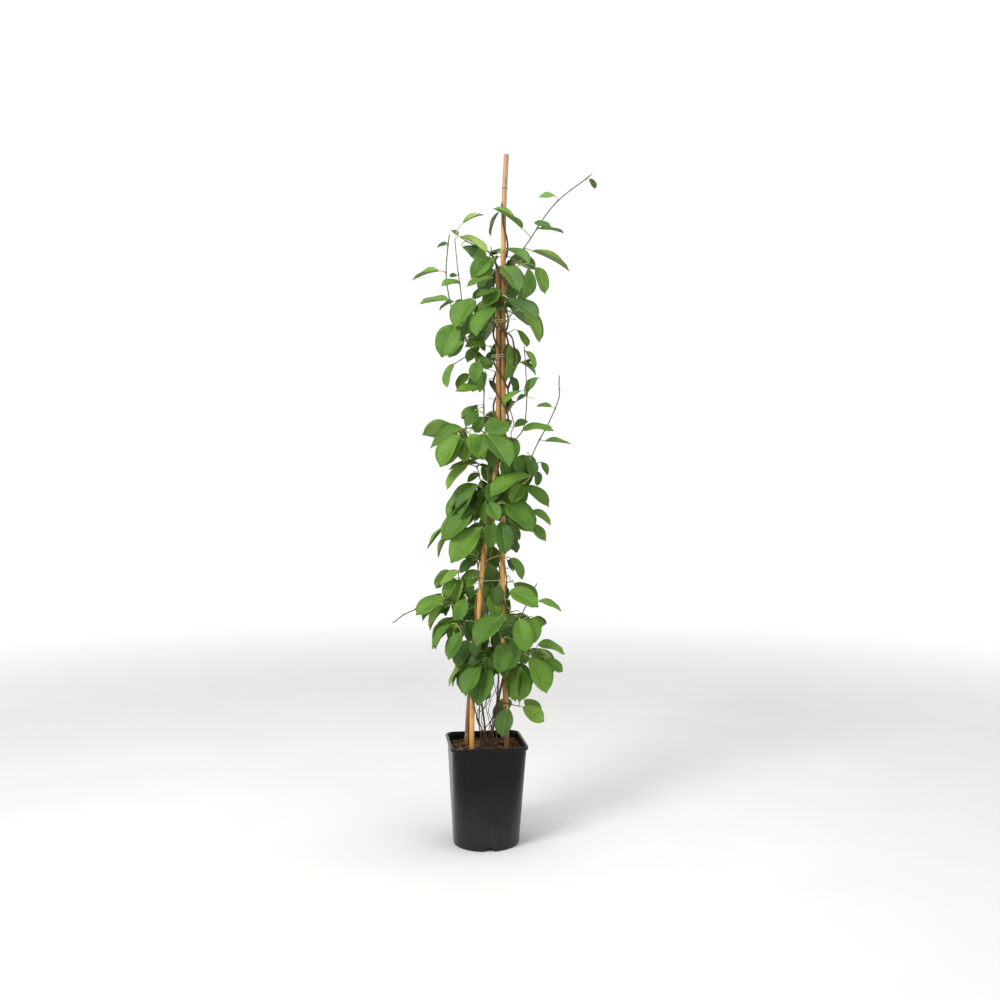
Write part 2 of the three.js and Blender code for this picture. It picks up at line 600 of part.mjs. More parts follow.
// The room from some points to everything else, up to a limit. Near its own root a leaf touches its stem.
function roomAround(points, radius, root, owner) {
  const ball = new THREE.Sphere().setFromPoints(points);
  let room = 2 * clearOfOthers;
  for (const other of occupied) {
    const reach = ball.radius + other.ball.radius + room + radius + other.radius;
    if (ball.center.distanceTo(other.ball.center) > reach) {
      continue;
    }
    const kinship = other.owner === owner ? kinRoom : 0;
    for (const point of points) {
      if (other.owner === owner && point.distanceTo(root) < rootRoom) {
        continue;
      }
      for (const taken of other.points) {
        room = Math.min(room, point.distanceTo(taken) - radius - other.radius + kinship);
      }
    }
  }
  return room;
}

function bladeSamples(leaf) {
  const rows = Math.ceil(leaf.length / sampleSpacing);
  const points = [];
  for (let row = 0; row <= rows; row += 1) {
    const along = row / rows;
    const half = (leaf.length * bladeWidthPerLength * bladeHalfWidth(along)) / 2;
    const columns = Math.ceil(half / sampleSpacing);
    for (let column = -columns; column <= columns; column += 1) {
      points.push(bladePoint(leaf, along, columns ? column / columns : 0));
    }
  }
  return points;
}

// A petiole leaves the stem upward and outward, and runs into the blade's rib.
function petioleCurve(leaf, root) {
  const reach = root.distanceTo(leaf.foot);
  const shoulder = leaf.foot.clone().addScaledVector(leaf.direction, -0.4 * reach);
  shoulder.z += 0.12 * reach;
  const halfway = root.clone().lerp(leaf.foot, 0.5);
  return new THREE.QuadraticBezierCurve3(root, shoulder.lerp(halfway, 0.35), leaf.foot);
}

// Stems' middle lines. A side shoot starts on the line of the stem that bears it.
const stemRoutes = [];

function nearestOn(routes, place) {
  const points = routes.flatMap((item) => item.points);
  return points.reduce((best, point) => (point.distanceTo(place) < best.distanceTo(place) ? point : best));
}

for (const [owner, routes] of Object.entries(stems)) {
  routes.forEach((route, index) => {
    const line = route.map(toVector);
    if (index > 0) {
      line[0] = nearestOn(stemRoutes.filter((item) => item.owner === owner), line[0]);
    }
    const curve = curveThrough(line);
    const points = straightened(curve, stemStep, lineSpacing);
    const isStem = index === 0;
    const [radius, sides] = isStem ? [stemRadius, stemSides] : [shootRadius, shootSides];
    stemRoutes.push({ owner, curve, points, radius, sides, isStem });
    occupyAlong(owner, curve, radius, lineSpacing);
  });
}
for (const [owner, cane] of Object.entries(canes)) {
  occupyAlong(owner, cane.curve, cane.radius, lineSpacing);
}
for (const [owner, tie] of Object.entries(ties)) {
  tie.curve = tieCurve(tie);
  occupyAlong(owner, tie.curve, tieRadius, lineSpacing);
}

// The nearest place above the soil on each stem, nearest first.
function rootsFor(foot) {
  const roots = Object.keys(stems).map((owner) => {
    let root = null;
    let reach = petioleReach;
    for (const route of stemRoutes) {
      if (route.owner !== owner) {
        continue;
      }
      for (const point of route.points) {
        const away = point.distanceTo(foot) + Math.max(0, point.z - foot.z) * 0.5;
        if (point.z > soilTop + rootsAbove && away < reach) {
          reach = away;
          root = point;
        }
      }
    }
    return { owner, root, reach };
  });
  return roots.filter((item) => item.root).sort((one, other) => one.reach - other.reach).slice(0, 3);
}

// Ways to turn and shift a leaf until it is clear of its neighbours, from none to a lot.
const sizes = [1, 0.84];
const swings = [0, 12, -12, 26, -26];
const depths = [0, 7, -7, 14];
const nods = [0, 16, -16];
const stances = [];
for (const size of sizes) {
  for (const swing of swings) {
    for (const depth of depths) {
      for (const nod of nods) {
        stances.push({ size, swing, depth, nod });
      }
    }
  }
}

function place(leaf) {
  let best = { room: -1 };
  const { foot, length } = leaf;
  for (const { owner, root } of rootsFor(foot)) {
    for (const { size, swing, depth, nod } of stances) {
      leaf.foot = foot.clone().setY(foot.y + depth);
      leaf.length = length * size;
      aim(leaf, swing, nod);
      const petiole = petioleCurve(leaf, root);
      const bladeRoom = roomAround(bladeSamples(leaf), 0, root, owner);
      const stalk = petiole.getSpacedPoints(Math.ceil(petiole.getLength() / stalkSpacing));
      const stalkRoom = roomAround(stalk, petioleRadius, root, owner) + stalkAllowance;
      const room = Math.min(bladeRoom, stalkRoom);
      if (room > best.room) {
        best = { room, owner, petiole, leaf: { ...leaf } };
      }
      if (room >= clearOfOthers) {
        return best;
      }
    }
  }
  return best;
}

// The near side's leaves come first, then the far side's: the partners of those that stand well forward.
const leaves = [];
const nearLeaves = [...crownLeaves, ...middleLeaves, ...skirtLeaves];

function grow(entry, index, far) {
  const found = place(describe(entry, index, far));
  if (found.room < leastRoom) {
    return;
  }
  occupy(found.owner, bladeSamples(found.leaf), 0);
  occupyAlong(found.owner, found.petiole, petioleRadius, stalkSpacing);
  leaves.push(found);
}

nearLeaves.forEach((entry, index) => grow(entry, index, false));
nearLeaves.forEach((entry, index) => {
  if (entry[1] <= forwardOf) {
    grow(entry, index, true);
  }
});

// A leaf as one thin solid: a three-sided stalk that opens into the blade. The blade's two faces are split
// into the same triangles, with a narrow edge all round.
function leafSolid({ leaf, petiole }) {
  const points = [];
  const faces = [];
  const stretches = petiole.getLength() > longStalk ? 2 : 1;
  const across = leaf.side.clone();
  for (let stop = stretches; stop >= 0; stop -= 1) {
    const middle = petiole.getPoint(stop / stretches);
    const forward = petiole.getTangent(stop / stretches);
    const radius = stop === 0 ? rootRadius : petioleRadius;
    across.addScaledVector(forward, -across.dot(forward)).setLength(radius);
    const down = forward.clone().cross(across).setLength(radius * 1.3);
    points.unshift(middle.clone().sub(across), middle.clone().add(across), middle.clone().add(down));
  }
  for (let stop = 0; stop < stretches; stop += 1) {
    const here = stop * 3;
    band(faces, [here, here + 1, here + 2], [here + 3, here + 4, here + 5], [false, false, false]);
  }
  faces.push(1, 0, 2);
  const stations = leaf.length < smallLeaf ? smallStations : largeStations;
  const [footLeft, footRight, footLow] = [0, 1, 2].map((corner) => stretches * 3 + corner);
  let loop = null;
  for (const along of stations) {
    const up = bladeUp(leaf, along).multiplyScalar(bladeThickness / 2);
    const row = [-1, 0, 1].map((across) => bladePoint(leaf, along, across));
    const first = points.length;
    points.push(...row.map((point) => point.clone().add(up)));
    points.push(...row.toReversed().map((point) => point.clone().sub(up)));
    const next = [0, 1, 2, 3, 4, 5].map((corner) => first + corner);
    if (loop) {
      band(faces, loop, next, [false, true, false, false, true, false]);
    } else {
      const [topLeft, top, topRight, lowRight, low, lowLeft] = next;
      faces.push(footLeft, top, topLeft, footLeft, footRight, top, footRight, topRight, top);
      faces.push(footRight, lowRight, topRight, footRight, low, lowRight, footRight, footLow, low);
      faces.push(footLow, lowLeft, low, footLow, footLeft, lowLeft, footLeft, topLeft, lowLeft);
    }
    loop = next;
  }
  const [topLeft, top, topRight, lowRight, low, lowLeft] = loop;
  const tipUp = bladeUp(leaf, 1).multiplyScalar(bladeThickness / 2);
  const tip = points.length;
  const tipLow = tip + 1;
  points.push(bladePoint(leaf, 1, 0).add(tipUp), bladePoint(leaf, 1, 0).sub(tipUp));
  faces.push(topLeft, top, tip, top, topRight, tip, lowRight, low, tipLow, low, lowLeft, tipLow);
  faces.push(topRight, lowRight, tipLow, topRight, tipLow, tip, lowLeft, topLeft, tip, lowLeft, tip, tipLow);
  const geometry = new THREE.BufferGeometry().setFromPoints(points);
  geometry.setIndex(faces);
  return toSolid(geometry);
}

// The faces between two loops of points, each square split one way or the other.
function band(faces, from, to, turned) {
  from.forEach((here, corner) => {
    const next = (corner + 1) % from.length;
    if (turned[corner]) {
      faces.push(here, from[next], to[corner], from[next], to[next], to[corner]);
    } else {
      faces.push(here, from[next], to[next], here, to[next], to[corner]);
    }
  });
}

// A plain hole in the soil round a cane's or stem's foot, wide enough at the middles of its flat sides.
function holeAlong(line, radius, sides) {
  const foot = line.filter((point) => point.z < soilTop + holeAbove);
  foot.unshift(foot[0].clone().setZ(foot[0].z - 1));
  return rod(curveThrough(foot), (radius + gap) / Math.cos(Math.PI / sides), sides, holeStep);
}

const model = new THREE.Group();
model.add(named('pot', makePot(), colours.pot));
const holes = [];
for (const [name, cane] of Object.entries(canes)) {
  model.add(named(name, makeCane(cane), cane.colour));
  holes.push(holeAlong(cane.line, cane.radius + jointSwelling, caneHoleSides));
}
for (const name of Object.keys(stems)) {
  const parts = [];
  for (const route of stemRoutes.filter((item) => item.owner === name)) {
    parts.push(rod(route.curve, route.radius, route.sides, stemStep));
  }
  for (const found of leaves.filter((item) => item.owner === name && item.leaf.length >= smallestLeaf)) {
    parts.push(leafSolid(found));
  }
  model.add(named(name, joined(parts), colours.leaf));
  holes.push(holeAlong(stemRoutes.find((item) => item.owner === name).points, stemRadius, stemHoleSides));
}
model.add(named('soil', makeSoil(holes), colours.soil));
for (const [name, tie] of Object.entries(ties)) {
  model.add(named(name, rod(tie.curve, tieRadius, tieSides, tieStep), tie.colour));
}

export default model;
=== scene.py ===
"""The looks of a hardy kiwi vine on three bamboo canes in a square nursery pot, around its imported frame.

Lengths are millimetres until a piece is made, which turns them into metres. +Z is up and the front is -Y.
"""

import itertools
import math

import bpy
import numpy as np
from mathutils import Euler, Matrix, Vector


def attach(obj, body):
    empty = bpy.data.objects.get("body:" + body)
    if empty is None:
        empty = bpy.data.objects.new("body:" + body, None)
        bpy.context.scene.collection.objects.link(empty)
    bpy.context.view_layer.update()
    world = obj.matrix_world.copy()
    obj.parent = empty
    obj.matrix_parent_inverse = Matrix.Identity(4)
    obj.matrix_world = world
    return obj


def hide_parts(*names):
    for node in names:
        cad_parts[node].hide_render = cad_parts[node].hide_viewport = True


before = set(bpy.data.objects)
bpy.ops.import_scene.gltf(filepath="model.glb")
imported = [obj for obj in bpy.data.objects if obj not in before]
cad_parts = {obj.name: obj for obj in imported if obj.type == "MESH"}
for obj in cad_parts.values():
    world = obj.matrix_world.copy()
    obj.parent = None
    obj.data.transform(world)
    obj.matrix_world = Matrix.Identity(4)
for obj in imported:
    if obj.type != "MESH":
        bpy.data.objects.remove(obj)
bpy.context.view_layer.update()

# Sizes shared with the solids
GAP = 0.3
POT_HEIGHT = 181
POT_HALF_TOP = 65
POT_CORNER_RADIUS = 16
POT_FOOT_RADIUS = 58.5
POT_WALL = 1.6
POT_TURN = math.radians(7.5)
LIP_OUT = 3
LIP_HEIGHT = 7
NOTCH_COUNT = 4
NOTCH_WIDTH = 16
NOTCH_HEIGHT = 9
NOTCH_DEPTH = 7
NOTCH_TURN = math.radians(-85)
SOIL_TOP = 167
SOIL_CLEARANCE = 0.5
JOINT_SWELLING = 0.5
STEM_RADIUS = 1.35
SHOOT_RADIUS = 1.0
STEM_STEP = 19
UPRIGHT_THROUGH = (172, 186)
PETIOLE_RADIUS = 0.9
PETIOLE_SHOULDER = 0.4
PETIOLE_RISE = 0.12
PETIOLE_BOW = 0.65
TIE_RADIUS = 0.8
TIE_HOLD = 16
TIE_STEPS_PER_TURN = 24
LEAST_TIE_STEP = 1.5
TIE_CANE_SLACK = 0.1
TIE_STEM_REACH = 3
BLADE_WIDTH_PER_LENGTH = 0.66
BLADE_SWELL = 0.68
BLADE_TAPER = 0.75
LEAST_BEND = 0.22
MORE_BEND = 0.38
LEAST_FOLD = 12
MORE_FOLD = 12
TWINE_PITCH = 130
TWINE_STEP = 15
TWINE_HEIGHT = 660
CANES_MEET = (600, 705)
CANES_END = (1015, 1050)
CANE_REACH = 7.6
BUNDLE_REACH = 14.3
PETIOLE_REACH = 62
ROOTS_TRIED = 3
ROOT_ABOVE_COST = 0.5
EDGE_ON = 0.15
CLEAR_OF_OTHERS = 4.2
LEAST_ROOM = 3.3
KIN_ROOM = 1.6
TABLE_SIZE = 201
STEPS_ALONG_CANE = 300
SAMPLE_SPACING = 3.6
LINE_SPACING = 4
STALK_SPACING = 3
ROOT_ROOM = 9
ROOTS_ABOVE = 25
STALK_ALLOWANCE = 1.6
STRETCH_LENGTH = 60
PLANT_MIDDLE = 28
FORWARD_OF = -12
FAR_BACK = 5
FAR_NUDGES = {"x": 9, "y": 6, "z": 13, "heading": 26}
FAR_SHRINKING = 0.12

# Values that only the looks have
FILLING_ROOM = 2.0
FORWARD_OF_FILLING = -4
FAR_LEAF = 500

# The numbers that tell a leaf's draws apart
DRAWS = {"bend": 1, "fold": 2, "x": 11, "y": 12, "z": 13, "length": 14, "heading": 15, "width": 21,
         "veins": 22, "wave": 23, "sway": 24, "tip": 25, "twist": 26, "ruddy": 28, "tone": 5464}

CANES = {
    "cane_tall": {
        "radius": 4.5,
        "joints": [150, 345, 560, 770, 965, 1150],
        "route": [(40, 2, 9), (37, 0, 170), (32.6, -1.6, 300), (29.6, -3, 430), (29.6, -3.5, 600),
                  (30.5, -3.5, 700), (30.5, -3.5, 860), (30.5, -3.5, 1040), (31.6, -3, 1120),
                  (35.8, -2, 1209)],
    },
    "cane_front": {
        "radius": 4.2,
        "joints": [130, 290, 470, 655, 850],
        "route": [(-25, -36, 9), (-24.4, -34.5, 170), (-23.4, -30, 251), (-18.6, -27.2, 340),
                  (-11.5, -22.5, 425), (-4.2, -17.8, 509), (3.4, -13.4, 561), (13, -9, 625),
                  (18.6, -6, 680), (21.3, -4.5, 760), (21.3, -4.5, 890), (21.3, -4.5, 1012)],
    },
    "cane_back": {
        "radius": 4.2,
        "joints": [180, 365, 545, 740, 925],
        "route": [(-42, 28, 9), (-35, 26, 170), (-30.6, 25, 244), (-22, 21.6, 330), (-10, 17.4, 430),
                  (6, 12, 570), (16, 9, 640), (23.6, 5.8, 700), (26.5, 4.8, 760), (26.5, 4.8, 870),
                  (26.5, 4.8, 985)],
    },
}
TIES = {
    "tie_upper": {"height": 935, "turns": 1.15, "rise": 4, "start": -60},
    "tie_middle": {"height": 916, "turns": 1.15, "rise": 4, "start": -100},
    "tie_bundle": {"height": 853, "turns": 2.1, "rise": 7, "start": -80},
    "tie_lower": {"height": 413, "turns": 1.05, "rise": 63, "start": -20},
}


# Lines through space
def length_of(vectors):
    return np.linalg.norm(vectors, axis=-1)


def unit(vector):
    return vector / np.linalg.norm(vector)


class Line:
    """A curve given by a function of 0 to 1, with a length table that spaces points evenly along it."""

    def __init__(self, at):
        self.at = at
        self.fractions = np.linspace(0, 1, TABLE_SIZE)
        steps = length_of(np.diff(at(self.fractions), axis=0))
        self.lengths = np.concatenate([[0], np.cumsum(steps)])
        self.length = self.lengths[-1]

    def even(self, count):
        targets = np.linspace(0, 1, count + 1) * self.length
        return self.at(np.interp(targets, self.lengths, self.fractions))


def through(points):
    """A centripetal Catmull-Rom curve, its ends carried on straight."""
    points = np.array(points, float)
    padded = np.vstack([2 * points[0] - points[1], points, 2 * points[-1] - points[-2]])
    spans = (np.diff(padded, axis=0) ** 2).sum(1, keepdims=True) ** 0.25
    before, span, after = spans[:-2], spans[1:-1], spans[2:]
    p0, p1, p2, p3 = padded[:-3], padded[1:-2], padded[2:-1], padded[3:]
    start = ((p1 - p0) / before - (p2 - p0) / (before + span) + (p2 - p1) / span) * span
    end = ((p2 - p1) / span - (p3 - p1) / (span + after) + (p3 - p2) / after) * span
    square = -3 * p1 + 3 * p2 - 2 * start - end
    cube = 2 * p1 - 2 * p2 + start + end

    def at(fractions):
        place = np.atleast_1d(fractions) * len(p1)
        index = np.minimum(place.astype(int), len(p1) - 1)
        part = (place - index)[:, None]
        return p1[index] + start[index] * part + square[index] * part**2 + cube[index] * part**3

    return Line(at)


def bow(start, shoulder, end):
    """A quadratic curve pulled toward its shoulder."""

    def at(fractions):
        part = np.atleast_1d(fractions)[:, None]
        return (1 - part) ** 2 * start + 2 * (1 - part) * part * shoulder + part**2 * end

    return Line(at)


def chance(index, use):
    """A repeatable number from 0 to 1 for a leaf's number and a use."""
    wave = math.sin(index * 12.9898 + DRAWS[use] * 78.233) * 43758.5453
    return wave - math.floor(wave)


def nudge(index, use):
    return (chance(index, use) * 2 - 1) * FAR_NUDGES[use]


def eased(value, low, high):
    """0 below low, 1 above high, and a soft step between."""
    part = np.clip((np.asarray(value, float) - low) / (high - low), 0, 1)
    return part * part * (3 - 2 * part)


def straightened(line, step, spacing):
    """Straight from step to step along a line, with more points between."""
    stops = line.even(max(2, math.floor(line.length / step + 0.5)))
    parts = math.ceil(step / spacing)
    shares = np.arange(1, parts + 1)[:, None] / parts
    points = [stops[:1]]
    for low, high in zip(stops[:-1], stops[1:]):
        points.append(low + (high - low) * shares)
    return np.vstack(points)


# Canes and what twines round them
for cane in CANES.values():
    cane["line"] = through(cane["route"])
    cane["points"] = cane["line"].even(STEPS_ALONG_CANE)


def cane_at(name, height):
    x, y, z = CANES[name]["points"].T
    return np.array([np.interp(height, z, x), np.interp(height, z, y), height])


def bundle_middle(height):
    return sum(cane_at(name, height) for name in CANES) / len(CANES)


def twine(name, phase, start, end):
    """A stem's way round its cane, and round all of them where they meet."""
    points = []
    count = math.ceil((end - start) / TWINE_STEP)
    for index in range(count + 1):
        height = start + (end - start) * index / count
        bundled = float(eased(height, *CANES_MEET) * (1 - eased(height, *CANES_END)))
        middle = cane_at(name, height) * (1 - bundled) + bundle_middle(height) * bundled
        reach = CANE_REACH + (BUNDLE_REACH - CANE_REACH) * math.sqrt(bundled)
        angle = math.radians(phase - (height - TWINE_HEIGHT) * 360 / TWINE_PITCH)
        points.append((middle[0] + reach * math.cos(angle), middle[1] + reach * math.sin(angle), height))
    return points


def rooted(x, y, low):
    """A stem's start, straight up out of its hole in the soil."""
    return [(x, y, height) for height in (low, *UPRIGHT_THROUGH)]


# The stems' routes, and the front leaves as x, y and z of the blade's foot, heading, length, lean and face
CROWN_LEAVES = [
    (181, 0, 1167, -50, 20, 0, 55), (121, -5, 1136, 175, 29, 10, 40), (113, -10, 1077, 150, 31, 10, 45),
    (93, 5, 1082, 5, 48, 0, 15), (63, -10, 1077, 140, 63, 10, 8), (22, 2, 1108, -150, 44, 5, 12),
    (-40, -5, 1089, 35, 40, 5, 25), (-60, -4, 1077, -15, 14, 0, 45), (-67, 3, 1055, -170, 20, 0, 45),
    (-43, -19, 1063, -25, 57, 20, 25), (-17, -8, 1051, -115, 24, 10, 65), (30, 12, 1043, 180, 27, -10, 35),
    (7, -28, 1019, -135, 41, 30, 75), (14, 8, 996, -170, 51, 10, 25), (-82, -5, 1006, -175, 49, 0, 20),
    (-51, 8, 1000, 175, 14, 0, 70), (-45, -6, 985, -175, 36, 10, 35), (-65, 5, 957, -180, 51, 0, 20),
    (-58, 14, 955, -165, 29, 0, 20), (-39, 12, 951, 160, 17, 0, 75), (-23, -22, 954, -130, 64, 30, 50),
    (14, -40, 936, -135, 72, 40, 30), (17, -19, 971, -160, 41, 10, 30), (25, 12, 971, -135, 34, -10, 75),
    (31, -44, 1006, -50, 62, 40, 50), (35, -14, 1043, -30, 58, 15, 30), (74, -25, 1006, -90, 53, 10, 40),
    (88, -5, 1012, -65, 48, 10, 50), (53, 12, 1027, -145, 25, 0, 70), (82, 0, 1042, -20, 74, 0, 20),
    (38, -35, 954, -30, 72, 30, 30), (63, -12, 934, -50, 60, 10, 30), (56, -5, 903, -55, 38, 10, 30),
    (-52, -28, 909, -115, 64, 20, 75), (-39, 5, 883, -150, 36, 0, 40), (-4, 15, 918, -155, 43, -10, 35),
    (-21, 12, 895, -45, 29, 0, 40), (0, 0, 876, -160, 38, 10, 40), (-28, 16, 869, -35, 31, -5, 45),
    (-16, -14, 851, -25, 31, 10, 75), (-12, -28, 846, -105, 39, 20, 70), (-56, -5, 844, -120, 44, 5, 30),
    (-30, 6, 827, -140, 34, 5, 50), (-10, -10, 799, 180, 44, 10, 30), (46, 14, 874, -65, 29, -5, 55),
    (60, -5, 847, -25, 36, 0, 20), (70, 8, 847, 35, 15, 0, 45), (70, -5, 789, 60, 40, 5, 35),
    (42, -5, 823, -65, 29, 5, 40), (60, -31, 794, -155, 42, 30, 20), (72, 6, 790, -160, 21, 10, 30),
    (5, 14, 817, -55, 24, 0, 35),
]
MIDDLE_LEAVES = [
    (116, 0, 769, 170, 27, 0, 25), (63, -8, 728, 10, 57, 5, 20), (104, 0, 709, 0, 46, 0, 15),
    (51, 8, 734, 35, 26, 0, 45), (-14, 5, 772, -140, 16, 0, 55), (-14, -12, 759, -135, 35, 10, 65),
    (-42, -12, 731, -160, 71, 5, 35), (-47, -35, 718, -125, 63, 20, 45), (-39, 2, 718, -120, 47, 5, 50),
    (0, -44, 720, -110, 46, 30, 75), (-4, 14, 752, -125, 35, -10, 75), (5, -38, 723, 20, 40, 20, 75),
    (3, -52, 718, -50, 82, 40, 45), (46, 14, 715, -70, 31, -10, 50), (-14, 8, 670, -175, 53, 5, 15),
    (-31, -10, 667, -145, 57, 10, 25), (-12, -5, 667, 5, 26, 0, 25), (-10, -10, 651, -155, 27, 5, 45),
    (77, -38, 648, -165, 82, 20, 20), (72, -5, 683, -135, 30, 5, 75), (78, -22, 677, -80, 32, 10, 75),
    (97, 0, 672, -60, 26, 5, 45), (90, 14, 656, -80, 27, -5, 55), (65, -8, 628, -30, 58, 10, 35),
    (62, -35, 634, -120, 41, 30, 75), (34, -45, 600, -35, 69, 30, 45), (7, -55, 602, -60, 38, 40, 75),
    (81, 2, 586, -30, 42, 0, 30), (75, 0, 563, -40, 44, 5, 40), (27, -55, 569, -80, 56, 20, 75),
    (44, 6, 559, -50, 30, 0, 40), (48, 10, 533, -60, 22, -5, 55), (-14, -22, 632, -130, 68, 20, 30),
    (-28, 10, 628, -135, 70, -5, 15), (-22, -38, 589, -140, 73, 20, 45), (-72, 4, 558, -135, 50, 0, 10),
    (-67, 12, 542, -125, 44, -5, 10), (-12, -14, 557, -125, 54, 15, 45), (-32, 6, 533, -135, 49, 0, 25),
    (0, -25, 604, -95, 43, 10, 35), (44, -8, 504, -50, 44, 5, 35), (37, 10, 499, -55, 24, 0, 40),
    (-5, 18, 536, -115, 39, -10, 55), (-12, 20, 504, -140, 43, -5, 20),
]
SKIRT_LEAVES = [
    (-47, -5, 481, -150, 43, 5, 30), (-14, 16, 478, -145, 37, -5, 70), (-48, 10, 459, -155, 25, 0, 50),
    (-54, 0, 449, -135, 34, 0, 50), (-73, -13, 434, -160, 59, 5, 30), (43, -20, 448, -25, 58, 20, 45),
    (93, 5, 426, -15, 45, 0, 15), (-35, -30, 433, -115, 39, 20, 75), (-74, -3, 420, -130, 47, 5, 30),
    (-64, 14, 418, -125, 24, -5, 50), (-61, -5, 394, -135, 63, 5, 20), (-62, -25, 389, -135, 51, 10, 20),
    (-43, -38, 376, -120, 51, 20, 50), (-24, -10, 354, -135, 46, 10, 55), (-3, -40, 340, -155, 33, 20, 50),
    (-37, 5, 317, -130, 50, 0, 10), (-10, -35, 322, -125, 63, 20, 40), (-3, -20, 304, -105, 53, 10, 50),
    (31, -55, 412, -145, 82, 40, 30), (49, -20, 403, -140, 37, 5, 65), (58, -48, 401, -75, 59, 30, 75),
    (73, -12, 391, -5, 31, 0, 75), (29, -65, 363, -90, 53, 30, 65), (3, -42, 334, -75, 29, 10, 75),
    (48, -38, 364, -95, 52, 20, 60), (33, -28, 324, -85, 30, 5, 55), (91, -6, 350, -5, 51, 5, 25),
    (79, 10, 330, 0, 41, -5, 20), (76, -25, 331, -55, 69, 20, 45), (105, -2, 321, -25, 37, 5, 50),
    (61, -28, 314, -85, 60, 20, 50), (46, -2, 300, -90, 44, 0, 35), (38, -45, 247, -105, 51, 20, 60),
    (65, -12, 241, -30, 46, 5, 55), (-14, -6, 385, -125, 38, 5, 75), (-11, 4, 414, -140, 32, 0, 75),
    (0, -25, 372, -130, 27, 5, 75),
]
